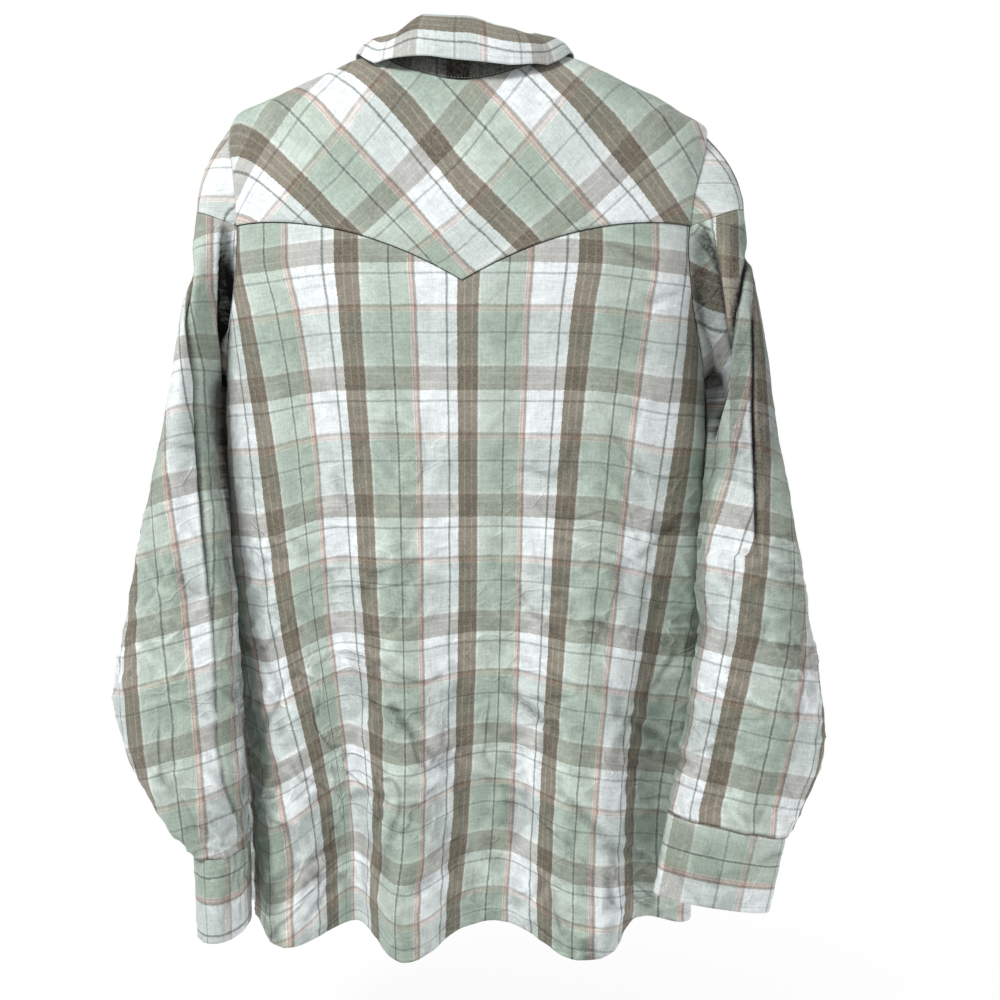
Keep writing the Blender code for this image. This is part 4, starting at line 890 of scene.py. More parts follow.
# %% The yokes' cut
# the numbers in slanted are rounded results of a separate least-squares fit
def slanted(x, sweep):
    """The slanted place on the cut, from the shoulder coordinates."""
    steps = np.linspace(0, 1, 25)
    path = np.stack([over(x, sweep * step) for step in steps])
    fall = np.linalg.norm(np.diff(path, axis=0), axis=-1).sum(axis=0)
    x, h = x / 0.1, (ridge_z(x) - np.copysign(fall, -sweep) + 0.1) / 0.1
    u = 25.6 + 69.1 * x + 56.7 * h - 0.1 * x * x - 4.6 * x * h - 7.8 * h * h - 0.4 * x ** 3
    v = -7.5 - 62.7 * x + 51.6 * h + 2.0 * x * x + 0.9 * x * h - 13.3 * h * h
    return np.stack([u, v], axis=-1) * MM


def bias_cut(x, sweep):
    """The same, evened out sideways, as the cloth evens out the bend beside the neck."""
    reach = 12 * MM * ease((0.14 - abs(x)) / 0.06)
    shares = {-2: 0.12, -1: 0.22, 0: 0.32, 1: 0.22, 2: 0.12}
    return sum(share * slanted(x + k * reach, sweep) for k, share in shares.items())


def front_bias_cut(x, sweep):
    """Each front yoke is slanted by 45 degrees, and one mirrors the other."""
    steps = np.linspace(0, 1, 25)
    path = np.stack([over(x, sweep * step) for step in steps])
    fall = np.linalg.norm(np.diff(path, axis=0), axis=-1).sum(axis=0)
    return np.stack([abs(x) + fall, fall - abs(x)], axis=-1) * math.sqrt(0.5)


def shoulder_seam(side, count):
    """From the neck out to the armhole, as shoulder coordinates."""
    start = sweep_of(neck_point(side * SHOULDER_SEAM_NECK))
    end = sweep_of(arm_station(side, SHOULDER_STATION))
    return mix(start, end, np.linspace(0, 1, count)[:, None])


def seam_sweep(x, z, back=True):
    return sweep_of(around(angle_of(x, z, back), z))


# %% The back yoke
seam = seam_sweep(*yoke_seam(columns))
neck_columns = np.linspace(-SHOULDER_SEAM_NECK, SHOULDER_SEAM_NECK, 2 * NECK_HALF * COLUMN_FINE + 1)
neck = sweep_of(neck_point(neck_columns))
shoulder_count = SHOULDER * COLUMN_FINE + 1
top = np.concatenate([
    shoulder_seam(-1, shoulder_count)[::-1], neck[1:-1], shoulder_seam(1, shoulder_count)
])
evenly = np.linspace(0, 1, len(top))
top = np.stack([np.interp(ACROSS, evenly, top[:, k]) for k in (0, 1)], axis=-1)
yoke_down = near_edges(np.linspace(0, 1, YOKE_ARM * 6 + 1), whole=0.16)
yoke_rows = mix(SHOULDER_STATION, YOKE_STATION, yoke_down)
sides = {side: sweep_of(arm_station(side, yoke_rows)) for side in (-1, 1)}
place = fill_between(top, seam, sides[-1], sides[1], ACROSS, yoke_down, hold=4)
grid = over(place[..., 0], place[..., 1])
YOKE_LIFT = 1.1 * MM
add_piece(
    "back_yoke_panel", grid, bias_cut(place[..., 0], place[..., 1]), bias_plaid_cotton, "back_yoke",
    centre=BODY_MIDDLE, lift=YOKE_LIFT, sunk="tlr",
)

# %% The front yokes
NECK_ROWS = 4       # of a front yoke's rows, those that end at the neck
for side, word in SIDES:
    top = shoulder_seam(side, 2)[::-1]
    top = mix(top[0], top[1], FRONT_ACROSS[:, None])
    rows = np.linspace(0, FRONT_YOKE_ARM, 6 * FRONT_YOKE_ARM + 1)
    outer = sweep_of(arm_station(side, SHOULDER_STATION + rows))
    by_neck = rows <= NECK_ROWS
    neck = sweep_of(neck_point(side * mix(SHOULDER_SEAM_NECK, NECK_BAND, rows[by_neck] / NECK_ROWS)))
    neck_z = float(neck_point(side * NECK_BAND)[2])
    low_z = float(front_yoke_seam(side, FRONT_COLUMN_COUNT)[1])
    edge_z = mix(neck_z, low_z, (rows[~by_neck] - NECK_ROWS) / (FRONT_YOKE_ARM - NECK_ROWS))
    edge = band_edge(side, edge_z)
    edge = sweep_of(around(edge[:, 0], edge[:, 1]))
    seam = seam_sweep(*front_yoke_seam(side, FRONT_COLUMNS), back=False)
    inner = np.concatenate([neck, edge])
    place = fill_between(top, seam, outer, inner, FRONT_ACROSS, rows / FRONT_YOKE_ARM, hold=4)
    grid = over(place[..., 0], place[..., 1])
    add_piece(
        "front_yoke_panel_" + word, grid, front_bias_cut(place[..., 0], place[..., 1]), bias_plaid_cotton,
        "front_yoke_" + word, centre=BODY_MIDDLE, lift=YOKE_LIFT,
    )

# %% [markdown]
# ## The snap bands
#
# Two narrow bands run down the front edges. The one on top carries the snap caps,
# the one under it the sockets.

# %% The snap bands
for side, node, name, step in ((-1, "front_band", "snap_band_top", 0.0),
                               (1, "under_band", "snap_band_under", 2.2 * MM)):
    across = np.linspace(0, 1, 13)
    neck = neck_point(side * mix(NECK_BAND, NECK_END, across))
    down = np.linspace(0, 1, 201)[:, None]
    z = mix(neck[:, 2], float(hem_z(math.pi)), down)
    x = side * (mix(BAND_WIDTH / 2, -BAND_WIDTH / 2, across) + spread(z))
    angle = angle_of(np.where(abs(x) < 1e-9, 1e-9, x), z, back=False)
    angle = np.where(angle > 0, angle, angle + 2 * math.pi)
    grid = around(angle, z)
    grid = grid - points(0 * x, 0 * x + step, 0 * x)
    cut = body_cut(np.full_like(z, math.pi), z)
    cut[..., 0] = x - side * spread(z)
    add_piece(name, grid, cut, plaid_cotton, node, centre=BODY_MIDDLE, lift=1.2 * MM)

# %% [markdown]
# ## The sleeves
#
# A sleeve is a tube that changes from a wide armhole to a narrow wrist. It is drawn
# as rings, each with an outer and an inner point, and a smooth line runs down
# through the same station of every ring. A lattice or a cloth simulation would also
# bend a tube, but rings keep the sleeve where the CAD says it is.

# %% The rings of the sleeves
# outer point across and up, inner point across and up, half depth, middle, skew
SLEEVES = {
    -1: [
        (269, -195, 243, -285, 80, -8, 0), (274, -250, 244, -305, 88, -14, 0),
        (285, -310, 240, -342, 86, -24, 9), (298, -372, 231, -388, 78, -40, 20),
        (312, -440, 224, -446, 70, -52, 25), (323, -510, 214, -511, 65, -64, 25),
        (329, -560, 208, -560, 62, -72, 22), (325, -610, 203, -610, 60, -80, 18),
        (302, -652, 201, -652, 57, -87, 12), (275, -688, 200, -688, 55, -92, 6),
        (244, -712, 199, -711, 52, -96, 0),
    ],
    1: [
        (283, -187, 246, -283, 80, -8, 0), (293, -250, 246, -304, 87, -17, 4),
        (301, -312, 243, -340, 84, -30, 12), (310, -364, 238, -382, 77, -43, 20),
        (318, -414, 231, -424, 69, -56, 25), (326, -472, 226, -476, 60, -69, 25),
        (332, -528, 219, -529, 54, -79, 22), (337, -574, 212, -574, 49, -87, 18),
        (336, -620, 203, -618, 44, -95, 12), (323, -656, 196, -650, 37, -102, 6),
        (299, -700, 190, -678, 25, -107, 0),
    ],
}
# station angle, half width, first and last ring, depth in millimetres
SLEEVE_FOLDS = {
    -1: [(118, 30, 3.5, 9.0, -9), (60, 26, 4.5, 9.5, 6), (88, 24, 8.0, 12.4, -9),
         (20, 24, 8.6, 12.4, -7), (-60, 30, 6.0, 11.5, -7)],
    1: [(48, 24, 3.5, 9.6, -9), (78, 24, 6.0, 10.5, 6), (112, 22, 8.4, 12.4, -7),
        (66, 20, 9.0, 12.4, -7), (-70, 30, 6.0, 11.5, -6)],
}
SLEEVE_ROUNDNESS = 2.2
SLEEVE_TUCK = {-1: 22 * MM, 1: 15 * MM}
SLEEVE_SEAM_X, SLEEVE_SEAM_Z = {-1: 263 * MM, 1: 276 * MM}, {-1: -116 * MM, 1: -112 * MM}
SEAM_BULGE, SEAM_SQUARENESS, CAP_BULGE = 14 * MM, 0.75, 9 * MM


def ring_point(ring, side, degrees):
    """Points of a sleeve ring: 0 is its outer side, 90 its back, 180 its inner side."""
    out_x, out_z, in_x, in_z, depth, mid_y, skew = np.asarray(ring, float) * MM
    turn = np.radians(degrees)
    outer = np.array([side * out_x, mid_y + skew, out_z])
    inner = np.array([side * in_x, mid_y - skew, in_z])
    along, behind = np.cos(turn), np.sin(turn)
    reach = (abs(along) ** SLEEVE_ROUNDNESS + abs(behind) ** SLEEVE_ROUNDNESS) ** (-1 / SLEEVE_ROUNDNESS)
    place = (outer + inner) / 2 + (outer - inner) / 2 * (along * reach)[..., None]
    place[..., 1] -= depth * behind * reach
    return place


def cap_seam_point(side, station):
    """The seam across the sleeve, from the back of the armhole round to the front."""
    part = (station - YOKE_STATION) / (FRONT_YOKE_STATION - YOKE_STATION)
    turn = mix(-math.pi / 2, math.pi / 2, part)
    end = arm_station(side, np.where(turn < 0, YOKE_STATION, FRONT_YOKE_STATION))
    out = np.clip(np.cos(turn), 0, 1) ** SEAM_SQUARENESS
    about = abs(np.sin(turn)) ** SEAM_SQUARENESS
    bulge = SEAM_BULGE * np.sin(2 * abs(turn))
    return points(
        mix(end[..., 0], side * SLEEVE_SEAM_X[side], out),
        end[..., 1] * about + np.copysign(bulge, turn),
        mix(end[..., 2], SLEEVE_SEAM_Z[side], out),
    )


def sleeve_grid(side, stations, rows):
    """Points of the sleeve below its cap, at stations round it and rows down it."""
    degrees = armhole_angle(side, stations)
    in_cap = (stations > YOKE_STATION) & (stations < FRONT_YOKE_STATION)
    first = np.where(
        in_cap[:, None],
        cap_seam_point(side, np.clip(stations, YOKE_STATION, FRONT_YOKE_STATION)),
        arm_station(side, stations),
    )
    tables = [ring_point(ring, side, degrees) for ring in SLEEVES[side]]
    tucked = (first + tables[0]) / 2
    tucked[:, 1] += SLEEVE_TUCK[side] * bump(degrees, 112.0, 50.0)
    given = np.stack([first, tucked] + tables)
    s = np.concatenate([[0, 0.04], np.linspace(0, 1, rows - 1)[1:] * (len(given) - 1)])
    i = np.minimum(s.astype(int), len(given) - 2)
    t = (s - i)[:, None, None]
    before, a, b = given[np.maximum(i - 1, 0)], given[i], given[i + 1]
    after = given[np.minimum(i + 2, len(given) - 1)]
    grid = 0.5 * (
        2 * a + (b - before) * t + (2 * before - 5 * a + 4 * b - after) * t ** 2
        + (3 * a - before - 3 * b + after) * t ** 3
    )
    out = grid - grid[:, :-1].mean(axis=1, keepdims=True)
    out[..., 2] = 0
    depth = 0.0
    for middle, spread_by, begin, end, deep in SLEEVE_FOLDS[side]:
        share = np.clip((s - begin) / (end - begin), 0, 1)
        depth = depth + deep * MM * np.sin(math.pi * share)[:, None] * bump(degrees, middle, spread_by)
    return grid + unit(out) * depth[..., None], s


# %% [markdown]
# On a sleeve the warp runs down the arm, and the weft goes round it. The distance
# round a ring, from a stripe whose line is listed, gives the place across the cut,
# and the height gives the place along it.

# %% The sleeves' cloth
SLEEVE_FINE, SLEEVE_ROWS = 7, 210
# Long folds of each sleeve as the camera sees them. Cloth is hidden inside a fold, so
# the warp makes a jump there: right of the line it follows the next stripe in the list.
SLEEVE_LINES = {
    -1: [[(188, 225), (190, 267), (187, 317), (192, 350), (197, 383), (197, 433), (200, 483),
          (203, 520), (208, 583), (215, 650), (216, 700), (217, 739), (223, 781), (231, 805), (237, 836)]],
    1: [[(712, 225), (715, 247), (721, 300), (727, 360), (725, 390), (718, 415), (711, 447), (690, 480)],
        [(752, 225), (748, 262), (740, 290), (733, 313), (727, 353), (725, 390)],
        [(752, 300), (753, 320), (752, 407), (755, 460), (757, 520), (757, 555)]],
}
# the edge of each sleeve's cloth beside the body; past it a deep channel is sunk and painted with shadow
SLEEVE_EDGES = {
    -1: [(220, 223), (219, 250), (217, 300), (217, 323), (221, 367), (222, 397), (225, 430), (228, 470), (231, 505)],
    1: [(712, 140), (703, 200), (708, 225), (715, 247), (721, 300), (727, 360), (725, 390), (718, 415), (711, 447), (690, 480)],
}
# a stripe's line and its place on the cut in millimetres, from left to right
SLEEVE_STRIPES = {
    -1: [([(120, 225), (140, 334), (161, 434), (173, 517), (186, 600), (196, 700), (207, 836)], 77),
         ([(212, 225), (212, 290), (230, 370), (238, 500), (245, 700), (247, 836)], 77)],
    1: [([(728, 225), (728, 400)], 11), ([(728, 225), (728, 299), (728, 400)], 11),
        ([(775, 225), (767, 300), (753, 377), (740, 434), (724, 501), (710, 540), (704, 560)], 77),
        ([(757, 225), (759, 319), (761, 405), (759, 520), (756, 570), (747, 642), (734, 697), (720, 760),
          (709, 810)], 128)],
}
# heights of the middles of the brown weft stripes on the inner side of each sleeve
SLEEVE_WEFT = {
    -1: np.array([-840, -726, -612, -498, -376, -247, -130]) * MM,
    1: np.array([-874, -757, -640, -523.5, -408, -287, -171, -54]) * MM,
}
SLEEVE_SLANT = {-1: 0.3, 1: 0.22}


def sleeve_cut(side, grid, degrees):
    """Where the points of a sleeve came from on its flat cut, in metres."""
    right, down = seen(grid)
    reach = side * right
    far, near = reach.max(axis=1)[:, None], reach[:, degrees > -4].min(axis=1)[:, None]
    middle, half = side * (far + near) / 2, (far - near) / 2
    behind = np.arange(len(degrees)) <= reach.argmax(axis=1)[:, None]
    part = np.clip((right - middle) / half, -1, 1)
    turn = np.arcsin(part)
    nearby = behind | (degrees < -150)      # the back, and just round its inner edge
    turn = np.where(nearby & ~behind, -side * math.pi - turn, np.where(behind, turn, side * math.pi - turn))
    cuts = [
        cut * MM + 0.93 * MM * (middle - line_x(line, down) + half * turn)
        for line, cut in SLEEVE_STRIPES[side]
    ]
    u = cuts[0]
    for line, cut in zip(SLEEVE_LINES[side], cuts[1:]):
        past = right > line_x(line, down)
        if line[-1][1] < 600:
            past |= down > line[-1][1]
        u = np.where(past, cut, u)
    u = np.where(nearby, u, cuts[0] if side < 0 else cuts[-1])
    level = grid[..., 2] + SLEEVE_SLANT[side] * (abs(grid[..., 0]) - 0.24)
    stripes = SLEEVE_WEFT[side]
    v = np.interp(level, stripes, np.arange(len(stripes))) * REPEAT + 11 * MM
    if side > 0:    # high up behind the first fold the cloth lies at a slant
        slant = (right < line_x(SLEEVE_LINES[1][0], down)) & (down < 470) & nearby
        x, y, z = grid[..., 0], grid[..., 1], grid[..., 2]
        turned = x * 0.72 + z * 0.7 + y * 0.4, z * 0.72 - x * 0.7 + y * 0.4
        u, v = np.where(slant, turned[0], u), np.where(slant, turned[1] + 0.03, v)
    return np.stack([u, v], axis=-1)


def sleeve_dents(side, grid, degrees):
    """How far the long folds sink into the sleeve, in metres, and the painted shade of folds and channel."""
    right, down = seen(grid)
    lift, shade = np.zeros(grid.shape[:2]), np.zeros(grid.shape[:2])
    behind = degrees > -4
    soft = mix(1, 0.35, ease((down - 500) / 140))
    for line in SLEEVE_LINES[side]:
        top, bottom = line[0][1], line[-1][1]
        fade = ease((down - top + 10) / 50) * ease((bottom + 10 - down) / 50) * behind * soft
        gap = (right - line_x(line, down)) / 2.6
        lift -= 5 * MM * fade * np.exp(-gap ** 2)
        # each fold's groove is darkened with painted shade
        shade -= 0.3 * fade * np.exp(-gap ** 2)
    edge = SLEEVE_EDGES[side]
    past = (line_x(edge, down) - right) * side
    if side > 0:
        past = past * np.where(right < 730, 1, 0)
    ends = ease((edge[-1][1] - down) / 40) * behind
    starts = ease(np.arange(len(grid)) / 10)[:, None]
    lift -= 11 * MM * ease(past / 5) * ends * starts
    # the channel is darkened with painted shadow, and a painted dark line runs along its edge
    deep = ease((down - 232) / 45) if side < 0 else 1
    shade -= CHANNEL_SHADE[side] * ease(past / 4) * ends * starts * deep
    shade -= 0.5 * np.exp(-((past - 1) / 2.4) ** 2) * ends * starts * (down > 225)
    # lower down the sleeve rests against the body's side
    rests = ease((down - 350) / 40) * ease((640 - down) / 60)
    inner = ease((abs(degrees) - 130) / 30) * (1 - behind * ease((edge[-1][1] + 20 - down) / 45))
    # painted shade where the sleeve's inner side turns towards the body
    shade -= 0.3 * ease((abs(degrees) - 150) / 22) * ease((down - 250) / 100)
    if side < 0:    # the channel runs on, narrower, between the sleeve and the body
        # there the channel is painted shadow only, with no groove
        shade -= 0.6 * ease((-degrees - 125) / 20) * ease((down - 320) / 30) * ease((560 - down) / 60)
    return lift + {-1: 4, 1: 6}[side] * MM * rests * inner, np.clip(shade, -0.85, 0)


# how dark the painted shadow in each sleeve's channel is
CHANNEL_SHADE = {-1: 0.7, 1: 0.26}
CAP_CUT = {-1: (26 * MM, 180 * MM), 1: (42 * MM, 141 * MM)}
SLEEVE_STATIONS = np.linspace(0, LAST_STATION, LAST_STATION * SLEEVE_FINE + 1)
CAP_STATIONS = np.linspace(YOKE_STATION, FRONT_YOKE_STATION, 14 * SLEEVE_FINE + 1)
for side, word in SIDES:
    grid, s = sleeve_grid(side, SLEEVE_STATIONS, SLEEVE_ROWS)
    grid[:, -1] = grid[:, 0]
    grid[-1, :, 2] -= 3 * MM        # the cuff's seam covers the sleeve's end
    degrees = armhole_angle(side, SLEEVE_STATIONS)
    lift, shade = sleeve_dents(side, grid, degrees)
    add_piece("sleeve_panel_" + word, grid, sleeve_cut(side, grid, degrees), plaid_cotton,
              "sleeve_" + word, closed=True, lift=lift, sunk="tb", shade=shade)
    start, end = arm_station(side, CAP_STATIONS), cap_seam_point(side, CAP_STATIONS)
    end[0], end[-1] = start[0], start[-1]
    v = near_edges(np.linspace(0, 1, 25), whole=0.1)[:, None, None]
    swell = CAP_BULGE * 4 * v * (1 - v) * np.maximum(0, np.cos(np.radians(armhole_angle(side, CAP_STATIONS))))[None, :, None]
    grid = mix(start, end, v) + swell * np.array([side, 0, 0])
    steps = np.linalg.norm(np.diff(grid[-1], axis=0), axis=1)
    across = np.concatenate([[0], np.cumsum(steps)])
    across = np.broadcast_to((across - across[-1] / 2) * side, grid.shape[:2])
    cut = np.stack([across + CAP_CUT[side][0], grid[..., 2] + CAP_CUT[side][1]], axis=-1)
    add_piece("sleeve_cap_panel_" + word, grid, cut, plaid_cotton,
              "sleeve_cap_" + word, centre=np.array([side * 0.2, 0, -0.2]), sunk="tb")

# %% [markdown]
# ## The cuffs
#
# A barrel cuff is two layers of cloth with a stiff layer between them. Its end laps
# over its beginning and is closed by two snaps.

# %% The cuffs
CUFFS = {
    -1: ((241, -714, 199, -713, 51, -96, 0), (237, -788, 197, -786, 50, -98, 0)),
    1: ((297, -702, 190, -680, 24, -107, 0), (280, -769, 176, -753, 23, -110, 0)),
}
CUFF_CUT, CUFF_WEFT = {-1: 21 * MM, 1: 18 * MM}, {-1: (0.036, 0.114), 1: (0.02, 0.104)}
CUFF_OVERLAP, CUFF_LAP_START, CUFF_LAP_LIFT = 48.0, {-1: 18.0, 1: -65.0}, 2.6 * MM


def cuff_out(ring, side, degrees):
    along = ring_point(ring, side, degrees + 3) - ring_point(ring, side, degrees - 3)
    return unit(np.cross(along, np.array([0, 0, -side])))


for side, word in SIDES:
    turned = np.arange(0, 360 + CUFF_OVERLAP + 1, 3.0)
    degrees = CUFF_LAP_START[side] - turned
    lift = CUFF_LAP_LIFT * ease((turned - 360) / 30.0 + 1.2)
    rows = []
    for v in np.linspace(0, 1, 21):
        ring = mix(np.array(CUFFS[side][0], float), np.array(CUFFS[side][1], float), v)
        rows.append(ring_point(ring, side, degrees) + cuff_out(ring, side, degrees) * lift[:, None])
    grid = np.stack(rows)
    steps = np.linalg.norm(np.diff(grid[0], axis=0), axis=1)
    across = np.concatenate([[0], np.cumsum(steps)])
    cut = np.stack(np.broadcast_arrays(      # its warp runs round the wrist
        np.linspace(*CUFF_WEFT[side], 21)[:, None], across[None, :] * side + CUFF_CUT[side]), -1)
    add_piece("cuff_panel_" + word, grid, cut, plaid_cotton, "cuff_" + word, thick=2.0 * MM, crumpled=0.4)

# %% The plackets of the sleeve slits
PLACKET_ANGLE, PLACKET_WIDTH = {-1: -34.0, 1: -100.0}, 10 * MM
for side, word in SIDES:
    coarse = armhole_angle(side, np.arange(LAST_STATION))
    middle = np.sort(np.argsort(abs(coarse - PLACKET_ANGLE[side]))[:2]).mean()
    stations = middle + np.linspace(-0.5, 0.5, 7)
    whole, _ = sleeve_grid(side, SLEEVE_STATIONS, SLEEVE_ROWS)
    row_low = int((SLEEVE_ROWS - 1) * 14 / 18)
    cols = np.clip(np.round(middle * SLEEVE_FINE).astype(int) + np.arange(-2, 3), 0, whole.shape[1] - 1)
    strip = whole[row_low:-1, cols]
    centre_line = strip[:, [2]]
    way = unit(strip[:, [4]] - strip[:, [0]])
    grid = centre_line + way * np.linspace(-0.5, 0.5, 5)[None, :, None] * PLACKET_WIDTH
    cut = np.stack(np.broadcast_arrays(
        np.linspace(0, 0.01, 5)[None, :], -np.linspace(0, 0.13, len(grid))[:, None]), -1)
    add_piece("placket_" + word, grid, cut, plaid_cotton, "sleeve_placket_" + word,
              centre=whole[-20].mean(axis=0), lift=1.9 * MM)

# %% [markdown]
# ## The collar
#
# A shirt collar is two parts: the stand, a straight strip round the neck, and the
# fall, which goes up inside, folds over the stand and lies down over the yoke.

# %% The collar's sizes
# degrees round the neck, stand's height and lean, fold's height, fall's edge out and up
COLLAR = np.array([
    (-180, 30, 4, 33, 25, -98), (-140, 30, 7, 33, 24, -55), (-105, 27, 16, 29, 25, -8),
    (-78, 19, 21, 22, 22, 20), (-50, 28, 12, 34, 19, 28), (-25, 36, 6, 57, 18, 26),
    (0, 36, 4, 60, 17, 20), (25, 35, 5, 46, 17, 18), (50, 28, 12, 32, 19, 24),
    (78, 20, 21, 22, 22, 20), (105, 27, 16, 29, 25, -8), (140, 30, 7, 33, 24, -55),
    (180, 30, 4, 33, 25, -98),
], float)
STAND, LEAN, FOLD, OUT, EDGE = 1, 2, 3, 4, 5
SEAM_GAP, WALL, FALL_CLEAR = 0.45 * MM, 1.5 * MM, 4 * MM
COLLAR_FINE = 6
marks = [-NECK_END, -NECK_BAND, -SHOULDER_SEAM_NECK, SHOULDER_SEAM_NECK, NECK_BAND, NECK_END]
NECK_ANGLES = np.interp(
    np.linspace(0, 30, 30 * COLLAR_FINE + 1), np.cumsum([0, 3, 4, 16, 4, 3]), marks)


def collar_value(column, degrees):
    return smooth_curve(COLLAR[:, 0], COLLAR[:, column] * MM, degrees)


def neck_out(degrees):
    """Level unit ways off the neck, outwards."""
    turn = np.radians(degrees)
    return unit(points(
        np.sin(turn) / NECK_HALF_WIDTH, -np.cos(turn) * 2 / (NECK_FRONT_Y - NECK_BACK_Y), 0 * turn))


def stand_top(degrees):
    place = neck_point(degrees) - neck_out(degrees) * collar_value(LEAN, degrees)[..., None]
    place[..., 2] += collar_value(STAND, degrees)
    return place


# %% The stand
low, high = neck_point(NECK_ANGLES), stand_top(NECK_ANGLES)
up = np.linspace(1, 0, 13)[:, None, None]
belly = neck_out(NECK_ANGLES) * 1 * MM * np.sin(math.pi * up)
grid = mix(low, high, up) + belly
steps = np.linalg.norm(np.diff(low, axis=0), axis=1)
collar_across = np.concatenate([[0], np.cumsum(steps)])
collar_across -= collar_across[-1] / 2
cut = np.stack(np.broadcast_arrays(collar_across[None, :] + 16 * MM, up[..., 0] * 0.036), -1)
# the back of the stand, under the fall, is darkened with painted shadow
behind = (np.cos(np.radians(NECK_ANGLES)) > 0.2)[None, :]
add_piece("collar_stand_panel", grid, cut, plaid_cotton, "collar_stand", thick=1.8 * MM,
          centre=np.array([0, 0, 0.05]), crumpled=0.4, shade=-0.74 * behind)

# %% The fall
def resting_z(place, out):
    """Height at which the fall lies on the shirt there."""
    nearer = place - out * FALL_CLEAR
    return np.maximum(
        top_of_body(place[..., 0], place[..., 1]), top_of_body(nearer[..., 0], nearer[..., 1])
    ) + WALL + FALL_CLEAR


out = neck_out(NECK_ANGLES)
share = abs(np.linspace(-1, 1, len(NECK_ANGLES)))
point_part = np.maximum(0, (share - 0.72) / 0.28) ** 1.6
root = stand_top(NECK_ANGLES) + out * 0.2 * MM + [0, 0, SEAM_GAP]
fold = neck_point(NECK_ANGLES) - out * (collar_value(LEAN, NECK_ANGLES) - 1 * MM)[:, None]
fold[:, 2] += np.maximum(collar_value(FOLD, NECK_ANGLES), collar_value(STAND, NECK_ANGLES) + 3 * MM)
over_fold = fold + out * 5 * MM
edge = neck_point(NECK_ANGLES) + out * collar_value(OUT, NECK_ANGLES)[:, None]
edge[:, 0] += np.sign(NECK_ANGLES) * 26 * MM * point_part
edge[:, 2] = np.maximum(collar_value(EDGE, NECK_ANGLES), resting_z(edge, out))
profile = [root, fold, over_fold]
for t in (1 / 3, 2 / 3, 1.0):
    place = mix(over_fold, edge, t) + (out * 5 * MM + [0, 0, 4 * MM]) * math.sin(math.pi * t)
    place[:, 2] = np.maximum(place[:, 2], resting_z(place, out))
    profile.append(place)
profile = np.stack(profile)
s = np.concatenate([np.linspace(0, 1, 6)[:-1], np.linspace(1, 2, 6)[:-1], np.linspace(2, 5, 19)])
i = np.minimum(s.astype(int), 4)
t = (s - i)[:, None, None]
before, a, b, after = (profile[np.clip(i + k, 0, 5)] for k in (-1, 0, 1, 2))
grid = 0.5 * (2 * a + (b - before) * t + (2 * before - 5 * a + 4 * b - after) * t ** 2
              + (3 * a - before - 3 * b + after) * t ** 3)
falls = np.linalg.norm(np.diff(grid, axis=0), axis=2)
down = np.concatenate([0 * falls[:1], np.cumsum(falls, axis=0)])
top_row = int(np.median(seen(grid)[1][5:, len(collar_across) // 3:-len(collar_across) // 3].argmin(axis=0))) + 5
print("the fall's top line is row", top_row)
cut = np.stack(np.broadcast_arrays(      # its warp runs along the collar
    27 * MM + down[top_row] - down, collar_across[None, :] * 117 / 126 + 59 * MM), -1)
add_piece("collar_fall_panel", grid, cut, plaid_cotton, "collar_fall", thick=1.2 * MM,
          crumpled=0.4)

# %% [markdown]
# ## Stitches
#
# Topstitching is a row of short dashes of thread, pulled a little into the cloth. Each
# dash is a small lozenge, and a row of them follows the edge of a panel. A row drawn
# in the material would vanish from the side, where these stand up and catch the light.

# %% Thread
def thread_material():
    material = bpy.data.materials.new("thread")
    nodes = Nodes(material)
    place = nodes.add("TexCoord").node.outputs["Object"]
    twist = nodes.add("TexNoise", {"Vector": place, "Scale": 900.0, "Detail": 2.0})
    tone = nodes.math("MULTIPLY_ADD", twist, 0.5, 0.6)
    colour = nodes.add("RGB")
    colour.default_value = linear((196, 192, 180))
    nodes.tree.links.new(
        nodes.add("VectorMath", {0: colour, "Scale": tone}, operation="SCALE"), nodes.shader.inputs["Base Color"])
    bump_way = nodes.add("Bump", {"Height": twist, "Strength": 0.3, "Distance": 0.0002})
    nodes.tree.links.new(bump_way, nodes.shader.inputs["Normal"])
    nodes.shader.inputs["Roughness"].default_value = 0.6
    return material


thread = thread_material()


def beside_edge(name, edge, inset):
    """A line on a piece at some distance from one of its edges, t, b, l or r."""
    grid, out = surfaces[name]
    if edge in "lr":
        grid, out = grid.swapaxes(0, 1), out.swapaxes(0, 1)
    if edge in "br":
        grid, out = grid[::-1], out[::-1]
    grid, out = grid[:14], out[:14]
    gone = np.cumsum(np.linalg.norm(np.diff(grid, axis=0, prepend=grid[:1]), axis=2), axis=0)
    line = [[np.interp(inset, gone[:, k], part[:, k, i]) for i in range(3)]
            for part in (grid, out) for k in range(grid.shape[1])]
    return np.array(line[:grid.shape[1]]), unit(np.array(line[grid.shape[1]:]))


STITCH_STEP, STITCH_LONG, STITCH_WIDE, STITCH_HIGH = 3.2 * MM, 2.3 * MM, 0.55 * MM, 0.3 * MM


